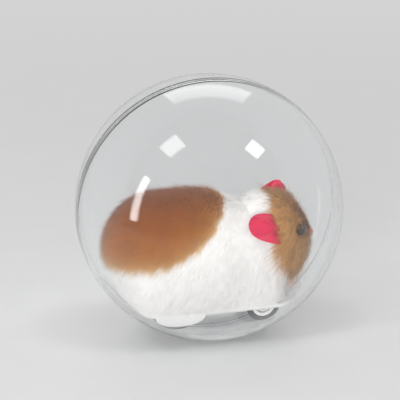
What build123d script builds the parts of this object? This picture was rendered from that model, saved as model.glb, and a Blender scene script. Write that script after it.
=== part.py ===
from build123d import *
import os
from math import acos, asin, cos, pi, radians, sin, sqrt, tan

# Clear rolling ball with a battery-driven plush hamster inside, in millimetres.
# The origin is the ball's centre. +X is the way the hamster faces, +Y its left, +Z up.

# Ball shell
ball_diameter = 140.0
ball_wall = 2.4
spigot_length = 4.0
spigot_thickness = 1.1
spigot_clearance = 0.15

# Housing plan
tub_rear_x = -35.0
tub_wall = 1.6
gear_wall_gap = 0.35
bay_front_gap = 1.5
tub_corner = 6.0
tub_edge_fillet = 1.0

# Wheels and axles
tyre_width = 5.0
tyre_thickness = 3.0
tyre_edge_fillet = 0.8
tyre_ball_gap = 0.3
wheel_side_gap = 1.5
wheel_slot_clearance = 0.8
drive_wheel_radius = 14.0
drive_axle_x = -22.0
drive_axle_radius = 1.5
front_wheel_radius = 9.0
front_axle_x = 24.0
front_axle_radius = 1.25
front_axle_grip = 3.2
front_axle_head_radius = 2.2
front_axle_head = 0.5
front_boss_radius = 2.5
running_clearance = 0.05
hub_web = 2.2
hub_rim = 1.8
hub_boss_radius = 3.2

# Housing heights
belly_below_axle = 10.5
tub_height = 20.0
pan_floor = 2.2
rim_above_belly = 5.0
rim_thickness = 2.2
rim_ball_gap = 5.6
guard_thickness = 1.7
rim_corner = 10.0
rim_edge_fillet = 0.7
guard_half_length = 13.0
guard_drop = 5.4
guard_forward = 1.5

# Battery bay
cell_diameter = 10.5
cell_length = 44.5
cell_pitch = 11.0
cell_tip_radius = 1.9
cell_tip_length = 1.0
cell_clearance = 0.3
contact_room = 2.0
contact_thickness = 0.4
contact_width = 8.0
contact_height = 7.0
bay_rib = 1.2
bay_axle_gap = 1.1
bay_wall = 0.8
bay_wall_gap = 0.3
bay_wall_rear_x = -12.0

# Battery door
door_thickness = 1.4
door_clearance = 0.2
door_seat_gap = 0.1
door_ledge = 1.2
door_boss_radius = 2.4
door_boss_gap = 0.8
door_screw_end_gap = 0.8
door_screw_radius = 0.8
door_screw_head_radius = 1.6
door_screw_head = 0.8
screw_clearance = 0.1

# Motor and gears
motor_width = 20.0
motor_height = 15.0
motor_length = 22.0
motor_flat_radius = 5.0
motor_seat_gap = 0.1
motor_boss_radius = 3.0
motor_boss_length = 1.5
motor_shaft_radius = 1.0
motor_shaft_depth = 6.0
terminal_width = 2.4
terminal_length = 1.6
terminal_spacing = 8.0
gear_module = 0.4
pinion_teeth = 12
gear_teeth = 36
gear_width = 2.0
gear_backlash = 0.12
gear_plane_gap = 0.3
gear_side_gap = 0.4
gear_pin_radius = 1.0
tooth_addendum = 0.8
tooth_dedendum = 1.1
pressure_angle = radians(20)
compound_lean = radians(6)
frame_floor = 1.6
gear_plate = 1.6
gear_plate_gap = 0.2
gear_plate_margin = 4.5

# Cover and its screws
cover_headroom = 1.7
cover_front_gap = 1.2
cover_boss_radius = 2.6
cover_boss_height = 5.6
cover_screw_inset = 3.8
cover_screw_rear_y = 4.0
cover_screw_radius = 0.9
cover_screw_head_radius = 1.9
cover_screw_head = 1.4
cover_screw_bite = 5.0
screw_recess_clearance = 0.2
screw_slot_width = 0.5
screw_slot_depth = 0.5

# Power switch
switch_y = -7.9
switch_length = 8.6
switch_width = 4.4
switch_height = 4.0
switch_wall_gap = 0.2
knob_width = 2.4
knob_length = 2.6
knob_reach = 1.2
knob_proud = 0.8
knob_travel = 2.5
knob_clearance = 0.2

# Leads from the motor
lead_radius = 0.6
lead_bend = 2.0
lead_gap = 0.15

# Plush
hem_gap = 0.3
plush_clearance = 0.4
soft_gap = 0.5
wheel_well_clearance = 1.2
ear_length = 21.0
ear_width = 16.5
ear_thickness = 3.0
ear_edge_fillet = 1.0
eye_radius = 3.0
nose_radius = 3.2
nose_height = 28.5
nose_ball_gap = 11.0
flat_angle = radians(16)

# Derived places
ball_radius = ball_diameter / 2
ball_inner = ball_radius - ball_wall
spigot_outer = ball_inner + spigot_thickness
bay_half_width = cell_pitch / 2 + cell_diameter / 2 + bay_wall_gap
plate_outer_y = bay_half_width + bay_wall_gap
plate_inner_y = plate_outer_y - gear_plate
plane_a = (plate_outer_y + gear_side_gap, plate_outer_y + gear_side_gap + gear_width)
plane_b = (plane_a[1] + gear_plane_gap, plane_a[1] + gear_plane_gap + gear_width)
inner_half_width = plane_b[1] + gear_wall_gap
tub_half_width = inner_half_width + tub_wall
tyre_inner_y = tub_half_width + wheel_side_gap
tyre_outer_y = tyre_inner_y + tyre_width
wheel_reach = sqrt(ball_inner**2 - tyre_outer_y**2) - tyre_ball_gap
drive_axle_z = -sqrt((wheel_reach - drive_wheel_radius) ** 2 - drive_axle_x**2)
front_axle_z = -sqrt((wheel_reach - front_wheel_radius) ** 2 - front_axle_x**2)
drive_hub_radius = drive_wheel_radius - tyre_thickness
front_hub_radius = front_wheel_radius - tyre_thickness
belly_z = drive_axle_z - belly_below_axle
floor_z = belly_z + pan_floor
split_z = belly_z + tub_height
rim_bottom_z = belly_z + rim_above_belly
rim_top_z = rim_bottom_z + rim_thickness
rim_half_length = sqrt(ball_inner**2 - rim_bottom_z**2) - rim_ball_gap
rim_half_width = tyre_outer_y + wheel_slot_clearance + guard_thickness
inner_corner = tub_corner - tub_wall

rib_rear_x = drive_axle_x + drive_axle_radius + bay_axle_gap
bay_rear_x = rib_rear_x + bay_rib
bay_front_x = bay_rear_x + cell_length + 2 * contact_room
tub_front_x = bay_front_x + bay_rib + bay_front_gap + tub_wall
cell_rear_x = bay_rear_x + contact_room
cell_z = floor_z + cell_clearance + cell_diameter / 2
rib_top_z = cell_z + cell_diameter / 2 + cell_clearance
door_screw_x = rib_rear_x - door_boss_radius
door_boss_top_z = drive_axle_z - drive_axle_radius - door_boss_gap
door_rear_x = door_screw_x - door_boss_radius
door_front_x = bay_front_x + door_ledge
door_half_width = bay_half_width + door_ledge

frame_top_z = rib_top_z + frame_floor
motor_face_y = plate_inner_y - gear_plate_gap
pin_end_y = plane_b[1] + gear_plane_gap
mesh_distance = gear_module * (pinion_teeth + gear_teeth) / 2
compound_x = drive_axle_x + mesh_distance * sin(compound_lean)
compound_z = drive_axle_z + mesh_distance * cos(compound_lean)
motor_z = frame_top_z + motor_seat_gap + motor_height / 2
motor_x = compound_x + sqrt(mesh_distance**2 - (motor_z - compound_z) ** 2)
motor_top_z = motor_z + motor_height / 2

roof_z = motor_top_z + cover_headroom + tub_wall
cover_step_x = motor_x + motor_width / 2 + cover_front_gap + tub_wall
deck_top_z = split_z + tub_wall
switch_x = tub_rear_x + tub_wall + switch_wall_gap + switch_width / 2
cover_screw_places = [
    (tub_rear_x + cover_screw_inset, cover_screw_rear_y),
    (tub_front_x - cover_screw_inset, tub_half_width - cover_screw_inset),
    (tub_front_x - cover_screw_inset, cover_screw_inset - tub_half_width),
]
hem_z = rim_top_z + hem_gap
nose_z = hem_z + nose_height
nose_x = sqrt(ball_inner**2 - nose_z**2) - nose_ball_gap

# Plush stations along X: place, upper radius, height of the widest line above the hem,
# height of the underside above the hem, half width of the underside.
body_stations = [
    (-53.0, 9.0, 27.0, 18.5, 6.0),
    (-48.0, 19.0, 25.5, 8.5, 14.0),
    (-43.0, 25.0, 24.0, 3.0, 20.5),
    (-36.0, 30.0, 23.0, -2.0, 26.3),
    (-20.0, 33.0, 22.0, -2.0, 28.0),
    (0.0, 32.5, 21.5, -2.0, 28.0),
    (14.0, 29.5, 20.5, -2.0, 27.3),
    (26.0, 27.5, 19.5, -2.0, 26.8),
    (33.5, 26.0, 17.5, -2.0, 25.4),
    (39.0, 15.0, 14.5, 1.5, 13.5),
]

# Head stations: distance behind the nose, radius, height of the middle above the hem.
head_stations = [
    (37.2, 17.0, 32.0),
    (26.2, 25.0, 29.5),
    (15.2, 24.5, 28.0),
    (6.2, 18.0, 26.5),
    (1.2, 9.0, 25.5),
]

# Paw stations along X: place, radius, height of the middle above the hem.
paw_stations = [
    (34.0, 3.5, 5.5),
    (40.0, 4.8, 4.5),
    (44.5, 3.0, 4.0),
]
paw_y = 9.0

# Eye and ear middles: distance behind the nose, place along Y, height above the hem. The long and
# outward directions make the left ear stand and the right one lie back.
eye_middle = (9.2, 17.5, 37.0)
ear_left_middle = (17.7, 17.0, 47.0)
ear_left_long = (0.55, -0.35, 0.75)
ear_left_out = (0.10, 0.90, 0.42)
ear_right_middle = (29.7, -23.0, 41.0)
ear_right_long = (-0.90, 0.15, 0.34)
ear_right_out = (-0.12, -0.88, 0.46)


def rod(x, z, radius, y_low, y_high):
    """A round bar along Y."""
    return Pos(x, (y_low + y_high) / 2, z) * Rot(90, 0, 0) * Cylinder(radius, y_high - y_low)


def block(x, y, z):
    """A box from three (low, high) pairs."""
    size = [high - low for low, high in (x, y, z)]
    middle = [(high + low) / 2 for low, high in (x, y, z)]
    return Pos(*middle) * Box(*size)


def bar(x_low, y, z, radius, length):
    """A round bar along X."""
    return Pos(x_low + length / 2, y, z) * Rot(0, 90, 0) * Cylinder(radius, length)


def post(x, y, radius, z_low, z_high):
    """A round bar along Z."""
    return Pos(x, y, (z_low + z_high) / 2) * Cylinder(radius, z_high - z_low)


def rounded_block(x, half_width, corner, z):
    """A box with rounded upright corners, centred on the XZ plane."""
    outline = RectangleRounded(x[1] - x[0], 2 * half_width, corner)
    return extrude(Pos((x[0] + x[1]) / 2, 0, z[0]) * outline, amount=z[1] - z[0])


def spun(points_and_arcs):
    """A solid of revolution about Y from a closed list of edges in the XY plane."""
    return revolve(make_face(points_and_arcs), axis=Axis.Y)


def quarter(radius, sign, start_y):
    """The arc of a circle about the origin from the pole on Y to the height start_y."""
    start_angle = asin(start_y / radius)
    middle_angle = (start_angle + pi / 2) / 2
    return ThreePointArc(
        (radius * cos(start_angle), sign * start_y),
        (radius * cos(middle_angle), sign * radius * sin(middle_angle)),
        (0, sign * radius),
    )


def ball_half_left():
    """The half shell on the left, with the lip that the other half pushes on to."""
    steps = Polyline(
        (ball_radius, 0),
        (spigot_outer, 0),
        (spigot_outer, -spigot_length),
        (ball_inner, -spigot_length),
        (ball_inner, 0),
    )
    pole = Line((0, ball_inner), (0, ball_radius))
    return spun([quarter(ball_radius, 1, 0), steps, quarter(ball_inner, 1, 0), pole])


def ball_half_right():
    """The half shell on the right, rebated inside its edge for the lip."""
    rebate_radius = spigot_outer + spigot_clearance
    rebate_depth = spigot_length + spigot_clearance
    shoulder_radius = sqrt(ball_inner**2 - rebate_depth**2)
    steps = Polyline(
        (ball_radius, 0),
        (rebate_radius, 0),
        (rebate_radius, -rebate_depth),
        (shoulder_radius, -rebate_depth),
    )
    pole = Line((0, -ball_inner), (0, -ball_radius))
    return spun([quarter(ball_radius, -1, 0), steps, quarter(ball_inner, -1, rebate_depth), pole])


def side_range(side, near, far):
    """The (low, high) pair along Y between two distances from the middle, on the left or right."""
    return tuple(sorted((side * near, side * far)))


def wheel_hub(x, z, radius, bore, side):
    """A dished wheel centre with a boss round its axle."""
    y_low, y_high = side_range(side, tyre_inner_y, tyre_outer_y)
    dish = side_range(side, tyre_inner_y + hub_web, tyre_outer_y)
    hub = rod(x, z, radius, y_low, y_high) - rod(x, z, radius - hub_rim, *dish)
    hub += rod(x, z, hub_boss_radius, y_low, y_high)
    return hub - rod(x, z, bore, y_low, y_high)


def tyre(x, z, radius, side):
    """A rubber ring on a wheel centre, with rounded tread edges."""
    y_low, y_high = side_range(side, tyre_inner_y, tyre_outer_y)
    ring = rod(x, z, radius, y_low, y_high)
    ring = fillet(ring.edges().filter_by(GeomType.CIRCLE), tyre_edge_fillet)
    return ring - rod(x, z, radius - tyre_thickness, y_low, y_high)


def drive_axle():
    return rod(drive_axle_x, drive_axle_z, drive_axle_radius, -tyre_outer_y, tyre_outer_y)


def front_axle(side):
    """A stub pin in the side of the pan, with a head that keeps its wheel on."""
    pin = side_range(side, inner_half_width - front_axle_grip, tyre_outer_y + wheel_slot_clearance / 2)
    head_start = tyre_outer_y + running_clearance
    head = side_range(side, head_start, head_start + front_axle_head)
    stub = rod(front_axle_x, front_axle_z, front_axle_radius, *pin)
    return stub + rod(front_axle_x, front_axle_z, front_axle_head_radius, *head)


def gear(x, z, teeth, tooth_angle, y_range):
    """A spur gear along Y with a tooth centred on tooth_angle, measured from +X towards +Z."""
    pitch_radius = gear_module * teeth / 2
    base_radius = pitch_radius * cos(pressure_angle)
    root_radius = pitch_radius - tooth_dedendum * gear_module
    tip_radius = pitch_radius + tooth_addendum * gear_module
    half_tooth = pi / (2 * teeth) - gear_backlash / (2 * pitch_radius)

    def half_angle(radius):
        """Half the tooth's angle at a radius: an involute above the base circle, straight below."""
        flank_angle = acos(min(1.0, base_radius / radius))
        opening = tan(pressure_angle) - pressure_angle - (tan(flank_angle) - flank_angle)
        return half_tooth + opening

    flank = [root_radius, max(base_radius, root_radius), pitch_radius, tip_radius]
    outline = []
    for tooth in range(teeth):
        middle = tooth_angle + 2 * pi * tooth / teeth
        rising = [(r, middle - half_angle(r)) for r in flank]
        falling = [(r, middle + half_angle(r)) for r in reversed(flank)]
        outline += [(r * cos(angle), r * sin(angle)) for r, angle in rising + falling]
    face = Plane.XZ.offset(-y_range[1]) * (Pos(x, z) * Polygon(*outline, align=None))
    return extrude(face, amount=y_range[1] - y_range[0])


axle_to_compound = pi / 2 - compound_lean
compound_to_motor = asin((motor_z - compound_z) / mesh_distance)


def axle_gear():
    wheel = gear(drive_axle_x, drive_axle_z, gear_teeth, axle_to_compound, plane_a)
    return wheel - rod(drive_axle_x, drive_axle_z, drive_axle_radius, *plane_a)


def compound_gear():
    """A large wheel driven by the motor and a small one, in one piece, that drives the axle."""
    gap_angle = axle_to_compound + pi + pi / pinion_teeth
    small = gear(compound_x, compound_z, pinion_teeth, gap_angle, (plane_a[0], plane_b[0]))
    large = gear(compound_x, compound_z, gear_teeth, compound_to_motor, plane_b)
    bore = rod(compound_x, compound_z, gear_pin_radius + running_clearance, plane_a[0], plane_b[1])
    return small + large - bore


def gear_pin():
    return rod(compound_x, compound_z, gear_pin_radius, plate_inner_y, pin_end_y)


def motor_pinion():
    gap_angle = compound_to_motor + pi + pi / pinion_teeth
    pinion = gear(motor_x, motor_z, pinion_teeth, gap_angle, plane_b)
    return pinion - rod(motor_x, motor_z, motor_shaft_radius, *plane_b)


def motor_shaft():
    return rod(motor_x, motor_z, motor_shaft_radius, motor_face_y - motor_shaft_depth, pin_end_y)


def motor_can():
    """A small flat-sided motor with its nose boss and two terminals."""
    rear_y = motor_face_y - motor_length
    outline = Plane.XZ.offset(-motor_face_y) * (
        Pos(motor_x, motor_z) * RectangleRounded(motor_width, motor_height, motor_flat_radius)
    )
    can = extrude(outline, amount=motor_length)
    can += rod(motor_x, motor_z, motor_boss_radius, motor_face_y, motor_face_y + motor_boss_length)
    for side in (-1, 1):
        middle = motor_x + side * terminal_spacing / 2
        can += block(
            (middle - terminal_width / 2, middle + terminal_width / 2),
            (rear_y - terminal_length, rear_y),
            (motor_z - terminal_width / 2, motor_z + terminal_width / 2),
        )
    bore_start = motor_face_y - motor_shaft_depth - running_clearance
    bore_radius = motor_shaft_radius + running_clearance
    return can - rod(motor_x, motor_z, bore_radius, bore_start, motor_face_y + motor_boss_length)


def gearbox_frame():
    """The deck over the cells, with the upright plate that carries the motor's nose and the gear pin."""
    deck = block(
        (rib_rear_x, bay_front_x + bay_rib),
        (-plate_outer_y, plate_outer_y),
        (rib_top_z, frame_top_z),
    )
    plate = block(
        (compound_x - gear_plate_margin, motor_x + motor_width / 2),
        (plate_inner_y, plate_outer_y),
        (rib_top_z, motor_top_z),
    )
    boss_hole_radius = motor_boss_radius + screw_clearance
    frame = deck + plate
    frame -= rod(motor_x, motor_z, boss_hole_radius, plate_inner_y, plate_outer_y)
    return frame - rod(compound_x, compound_z, gear_pin_radius, plate_inner_y, plate_outer_y)


def wheel_slots(clearance, start_y):
    """Round-bottomed spaces that the four wheels turn in, from start_y outwards."""
    slots = []
    drive = (drive_axle_x, drive_axle_z, drive_wheel_radius)
    front = (front_axle_x, front_axle_z, front_wheel_radius)
    for x, z, radius in (drive, front):
        for side in (-1, 1):
            y_pair = side_range(side, start_y, tyre_outer_y + wheel_slot_clearance)
            slots.append(rod(x, z, radius + clearance, *y_pair))
    return slots


def wheel_guard(side):
    """A rounded skirt below the rim that shields the drive wheel."""
    guard_x = drive_axle_x + guard_forward
    outline = Plane.XZ * (Pos(guard_x, rim_bottom_z) * Ellipse(guard_half_length, guard_drop))
    inside = tyre_outer_y + wheel_slot_clearance
    y_low, y_high = side_range(side, inside, rim_half_width)
    plate = extrude(Pos(0, y_high, 0) * outline, amount=y_high - y_low)
    keep = block(
        (guard_x - guard_half_length, guard_x + guard_half_length),
        (y_low, y_high),
        (rim_bottom_z - guard_drop, rim_top_z),
    )
    return plate & keep


def base_pan():
    """The lower housing: tub, rim, wheel guards, battery bay, bosses and wheel slots."""
    tub = rounded_block((tub_rear_x, tub_front_x), tub_half_width, tub_corner, (belly_z, split_z))
    tub = fillet(tub.edges().group_by(Axis.Z)[0], tub_edge_fillet)
    rim_x = (-rim_half_length, rim_half_length)
    rim = rounded_block(rim_x, rim_half_width, rim_corner, (rim_bottom_z, rim_top_z))
    rim = fillet(rim.edges().group_by(Axis.Z)[0], rim_edge_fillet)
    hollow_x = (tub_rear_x + tub_wall, tub_front_x - tub_wall)
    hollow = rounded_block(hollow_x, inner_half_width, inner_corner, (floor_z, split_z))
    pan = tub + rim
    for side in (-1, 1):
        pan += wheel_guard(side)
    pan -= hollow
    for slot in wheel_slots(wheel_slot_clearance, tyre_inner_y - wheel_slot_clearance):
        pan -= slot

    ribs = []
    for rib_x in (rib_rear_x, bay_front_x):
        rib_y = (-bay_half_width, bay_half_width)
        ribs.append(block((rib_x, rib_x + bay_rib), rib_y, (floor_z, rib_top_z)))
    for side in (-1, 1):
        wall_y = side_range(side, bay_half_width, bay_half_width + bay_wall)
        ribs.append(block((bay_wall_rear_x, bay_front_x + bay_rib), wall_y, (floor_z, rib_top_z)))
        grip = side_range(side, inner_half_width - front_axle_grip, inner_half_width)
        ribs.append(rod(front_axle_x, front_axle_z, front_boss_radius, *grip))
    ribs.append(post(door_screw_x, 0, door_boss_radius, floor_z, door_boss_top_z))
    for x, y in cover_screw_places:
        ribs.append(post(x, y, cover_boss_radius, floor_z, split_z))
    pan += ribs

    recess_top = belly_z + door_thickness + door_seat_gap
    recess_x = (door_rear_x - door_clearance, door_front_x + door_clearance)
    recess_half_width = door_half_width + door_clearance
    pan -= block(recess_x, (-recess_half_width, recess_half_width), (belly_z, recess_top))
    pan -= block((bay_rear_x, bay_front_x), (-bay_half_width, bay_half_width), (belly_z, floor_z))
    pan -= post(door_screw_x, 0, door_screw_radius + screw_clearance, belly_z, door_boss_top_z)
    for x, y in cover_screw_places:
        pan -= post(x, y, cover_screw_radius + screw_clearance, belly_z, split_z)
        recess_radius = cover_screw_head_radius + screw_recess_clearance
        pan -= post(x, y, recess_radius, belly_z, belly_z + cover_screw_head + screw_recess_clearance)
    slot_half = knob_width / 2 + knob_clearance
    pan -= block((switch_x - slot_half, switch_x + slot_half), knob_slot_y(), (belly_z, floor_z))
    axle_hole = drive_axle_radius + running_clearance
    pan -= rod(drive_axle_x, drive_axle_z, axle_hole, -tub_half_width, tub_half_width)
    for side in (-1, 1):
        grip = side_range(side, inner_half_width - front_axle_grip, tyre_inner_y)
        pan -= rod(front_axle_x, front_axle_z, front_axle_radius, *grip)
    return pan


def knob_slot_y():
    """The slot that the switch knob slides in, from one end to the other."""
    low = switch_y - knob_travel / 2 - knob_length / 2 - knob_clearance
    high = switch_y + knob_travel / 2 + knob_length / 2 + knob_clearance
    return (low, high)


def switch_body():
    body = block(
        (switch_x - switch_width / 2, switch_x + switch_width / 2),
        (switch_y - switch_length / 2, switch_y + switch_length / 2),
        (floor_z, floor_z + switch_height),
    )
    slot_half = knob_width / 2 + knob_clearance
    slot_top = floor_z + knob_reach + knob_clearance
    return body - block((switch_x - slot_half, switch_x + slot_half), knob_slot_y(), (floor_z, slot_top))


def switch_knob():
    """The thumb knob at its OFF end, standing a little proud of the underside."""
    start_y = switch_y - knob_travel / 2
    return block(
        (switch_x - knob_width / 2, switch_x + knob_width / 2),
        (start_y - knob_length / 2, start_y + knob_length / 2),
        (belly_z - knob_proud, floor_z + knob_reach),
    )


def slotted_screw(x, y, z, head, shank_radius, top_z):
    """A screw standing head down, with a slot across its head of (radius, height)."""
    head_radius, head_height = head
    screw = post(x, y, head_radius, z, z + head_height) + post(x, y, shank_radius, z, top_z)
    slot = block(
        (x - head_radius, x + head_radius),
        (y - screw_slot_width / 2, y + screw_slot_width / 2),
        (z, z + screw_slot_depth),
    )
    return screw - slot


def cover_screws():
    """The three screws that pull the cover down on to the pan."""
    head_z = belly_z + screw_recess_clearance
    head = (cover_screw_head_radius, cover_screw_head)
    top_z = split_z + cover_screw_bite
    screws = []
    for x, y in cover_screw_places:
        screws.append(slotted_screw(x, y, head_z, head, cover_screw_radius, top_z))
    return Compound(children=screws)


def chassis_cover():
    """The upper housing: a low deck over the cells and a raised box over the motor and gears."""
    deck = rounded_block((tub_rear_x, tub_front_x), tub_half_width, tub_corner, (split_z, deck_top_z))
    box = rounded_block((tub_rear_x, cover_step_x), tub_half_width, tub_corner, (split_z, roof_z))
    box = fillet(box.edges().group_by(Axis.Z)[-1], tub_edge_fillet)
    room_x = (tub_rear_x + tub_wall, cover_step_x - tub_wall)
    room = rounded_block(room_x, inner_half_width, inner_corner, (split_z, roof_z - tub_wall))
    cover = deck + box - room
    for x, y in cover_screw_places:
        cover += post(x, y, cover_boss_radius, split_z, split_z + cover_boss_height)
    for x, y in cover_screw_places:
        hole_radius = cover_screw_radius + running_clearance
        cover -= post(x, y, hole_radius, split_z, split_z + cover_screw_bite + screw_clearance)
    return cover


def battery_cell(side):
    """A round cell along X. The two lie in opposite directions."""
    y = side * cell_pitch / 2
    body_length = cell_length - cell_tip_length
    body_rear_x = cell_rear_x + (cell_tip_length if side < 0 else 0)
    tip_rear_x = cell_rear_x if side < 0 else cell_rear_x + body_length
    body = bar(body_rear_x, y, cell_z, cell_diameter / 2, body_length)
    return body + bar(tip_rear_x, y, cell_z, cell_tip_radius, cell_tip_length)


def contact_strip(face_x, inward, y, z):
    """A flat strip on a bay rib with a pressed bump that reaches the cell."""
    strip_x = tuple(sorted((face_x, face_x + inward * contact_thickness)))
    bump_x = tuple(sorted((face_x, face_x + inward * contact_room)))
    half = cell_tip_radius / 2
    bump_z = (cell_z - half, cell_z + half)
    strip = block(strip_x, y, z)
    for side in (-1, 1):
        bump_y = side * cell_pitch / 2
        if y[0] < bump_y < y[1]:
            strip += block(bump_x, (bump_y - half, bump_y + half), bump_z)
    return strip


contact_z = (cell_z - contact_height / 2, cell_z + contact_height / 2)
lead_y = motor_face_y - motor_length - lead_radius - lead_gap


def rear_contacts():
    """Two separate strips, one for each cell."""
    strips = []
    for side in (-1, 1):
        middle = side * cell_pitch / 2
        strip_y = (middle - contact_width / 2, middle + contact_width / 2)
        strips.append(contact_strip(bay_rear_x, 1, strip_y, contact_z))
    tail_x = (bay_rear_x, bay_rear_x + contact_thickness)
    tail_y = (lead_y + lead_radius + lead_gap, -cell_pitch / 2)
    strips[0] += block(tail_x, tail_y, (cell_z - lead_radius, cell_z + lead_radius))
    return Compound(children=strips)


def front_contact():
    """One strip that joins the two cells."""
    half = cell_pitch / 2 + contact_width / 2
    return contact_strip(bay_front_x, -1, (-half, half), contact_z)


def battery_door():
    """The flat door under the cells, with a sunk hole for its screw."""
    door = block(
        (door_rear_x, door_front_x),
        (-door_half_width, door_half_width),
        (belly_z, belly_z + door_thickness),
    )
    door -= post(door_screw_x, 0, door_screw_radius, belly_z, belly_z + door_thickness)
    return door - post(door_screw_x, 0, door_screw_head_radius, belly_z, belly_z + door_screw_head)


def door_screw():
    top_z = door_boss_top_z - door_screw_end_gap
    head = (door_screw_head_radius, door_screw_head)
    return slotted_screw(door_screw_x, 0, belly_z, head, door_screw_radius, top_z)


def motor_lead(terminal_side, end_z, end_x):
    """A lead from a motor terminal down beside the battery bay and back to where it ends."""
    x = motor_x + terminal_side * terminal_spacing / 2
    start_z = motor_z - terminal_width / 2
    corners = [(x, lead_y, start_z), (x, lead_y, end_z), (end_x, lead_y, end_z)]
    route = FilletPolyline(*corners, radius=lead_bend)
    return sweep(Plane(origin=route @ 0, z_dir=route % 0) * Circle(lead_radius), path=route)


def plush_section(x, radius, middle_z, under_z, under_half_width):
    """A closed section across X: a flat underside, sides that lean in and a half-round top.

    The side arcs leave the top's arcs without a corner at the widest line.
    """
    sag = radius - under_half_width
    rise = middle_z - under_z
    side_radius = (rise**2 + sag**2) / (2 * sag)
    half_turn = asin(rise / side_radius) / 2
    side_y = radius - side_radius + side_radius * cos(half_turn)
    side_z = middle_z - side_radius * sin(half_turn)
    shoulder = radius / sqrt(2)

    top = (x, 0, middle_z + radius)
    edges = [Line((x, -under_half_width, under_z), (x, under_half_width, under_z))]
    for side in (-1, 1):
        foot = (x, side * under_half_width, under_z)
        lower = (x, side * side_y, side_z)
        widest = (x, side * radius, middle_z)
        upper = (x, side * shoulder, middle_z + shoulder)
        edges.append(ThreePointArc(foot, lower, widest))
        edges.append(ThreePointArc(widest, upper, top))
    return Wire(edges)


def round_section(x, radius, middle_z):
    """A circle across X with a narrow flat underneath."""
    under_z = middle_z - radius * cos(flat_angle)
    return plush_section(x, radius, middle_z, under_z, radius * sin(flat_angle))


def lofted(wires, grow):
    """A smooth solid through the sections, its two end faces moved out by grow."""
    wires[0] = Pos(-grow, 0, 0) * wires[0]
    wires[-1] = Pos(grow, 0, 0) * wires[-1]
    return Solid.make_loft(wires)


def body_form(grow=0.0):
    wires = []
    for x, radius, middle, under, half_width in body_stations:
        heights = (hem_z + middle, hem_z + under)
        wires.append(plush_section(x, radius + grow, *heights, half_width + grow))
    return lofted(wires, grow)


def head_form(grow=0.0):
    wires = []
    for behind, radius, middle in head_stations:
        wires.append(round_section(nose_x - behind, radius + grow, hem_z + middle))
    return lofted(wires, grow)


def chassis_room():
    """The space inside the plush that the housing and the wheels take."""
    gap = plush_clearance
    plan = (tub_rear_x - gap, tub_front_x + gap)
    room = rounded_block(plan, tub_half_width + gap, tub_corner + gap, (belly_z, deck_top_z + gap))
    raised = (tub_rear_x - gap, cover_step_x + gap)
    room += rounded_block(raised, tub_half_width + gap, tub_corner + gap, (split_z, roof_z + gap))
    for x, y in cover_screw_places[1:]:
        room += post(x, y, cover_boss_radius + gap, split_z, split_z + cover_boss_height + gap)
    for slot in wheel_slots(wheel_well_clearance, tub_half_width):
        room += slot
    return room


def plush_body():
    """The stuffed body: a thick skirt over the housing that ends in the hem on the rim."""
    below_hem = block((-ball_inner, ball_inner), (-ball_inner, ball_inner), (-ball_inner, hem_z))
    return body_form() - below_hem - chassis_room()


def plush_head():
    return head_form() - body_form(soft_gap) - chassis_room()


def ear(middle, long_way, outward):
    """A thin round-edged oval on the side of the head."""
    behind, y, z = middle
    place = Plane(origin=(nose_x - behind, y, hem_z + z), x_dir=long_way, z_dir=outward)
    outline = place * Ellipse(ear_length / 2, ear_width / 2)
    oval = extrude(outline, amount=ear_thickness / 2, both=True)
    oval = fillet(oval.edges(), ear_edge_fillet)
    return oval - head_form(soft_gap) - body_form(soft_gap)


def eye(side):
    behind, y, z = eye_middle
    return Pos(nose_x - behind, side * y, hem_z + z) * Sphere(eye_radius) - head_form(running_clearance)


def nose():
    return Pos(nose_x, 0, nose_z) * Sphere(nose_radius) - head_form(running_clearance)


def front_paw(side):
    wires = [round_section(x, radius, hem_z + middle) for x, radius, middle in paw_stations]
    limb = Pos(0, side * paw_y, 0) * lofted(wires, 0.0)
    return limb - body_form(soft_gap) - head_form(soft_gap)


nodes = {
    "ball_half_left": ball_half_left(),
    "ball_half_right": ball_half_right(),
    "base_pan": base_pan(),
    "chassis_cover": chassis_cover(),
    "cover_screws": cover_screws(),
    "gearbox_frame": gearbox_frame(),
    "battery_cell_left": battery_cell(1),
    "battery_cell_right": battery_cell(-1),
    "rear_contacts": rear_contacts(),
    "front_contact": front_contact(),
    "battery_door": battery_door(),
    "door_screw": door_screw(),
    "switch_body": switch_body(),
    "switch_knob": switch_knob(),
    "motor_can": motor_can(),
    "motor_lead_red": motor_lead(-1, cell_z, bay_rear_x),
    "motor_lead_black": motor_lead(1, floor_z + lead_radius + switch_wall_gap, switch_x),
    "motor_shaft": motor_shaft(),
    "motor_pinion": motor_pinion(),
    "compound_gear": compound_gear(),
    "gear_pin": gear_pin(),
    "axle_gear": axle_gear(),
    "drive_axle": drive_axle(),
    "plush_body": plush_body(),
    "plush_head": plush_head(),
    "ear_left": ear(ear_left_middle, ear_left_long, ear_left_out),
    "ear_right": ear(ear_right_middle, ear_right_long, ear_right_out),
    "nose": nose(),
}
for side, word in ((1, "left"), (-1, "right")):
    nodes["drive_wheel_" + word] = wheel_hub(
        drive_axle_x, drive_axle_z, drive_hub_radius, drive_axle_radius, side
    )
    nodes["drive_tyre_" + word] = tyre(drive_axle_x, drive_axle_z, drive_wheel_radius, side)
    nodes["front_axle_" + word] = front_axle(side)
    nodes["front_wheel_" + word] = wheel_hub(
        front_axle_x, front_axle_z, front_hub_radius, front_axle_radius + running_clearance, side
    )
    nodes["front_tyre_" + word] = tyre(front_axle_x, front_axle_z, front_wheel_radius, side)
    nodes["eye_" + word] = eye(side)
    nodes["front_paw_" + word] = front_paw(side)

os.makedirs("parts", exist_ok=True)
for name, solid in nodes.items():
    export_step(solid, "parts/" + name + ".step")
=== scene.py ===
import math

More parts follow.
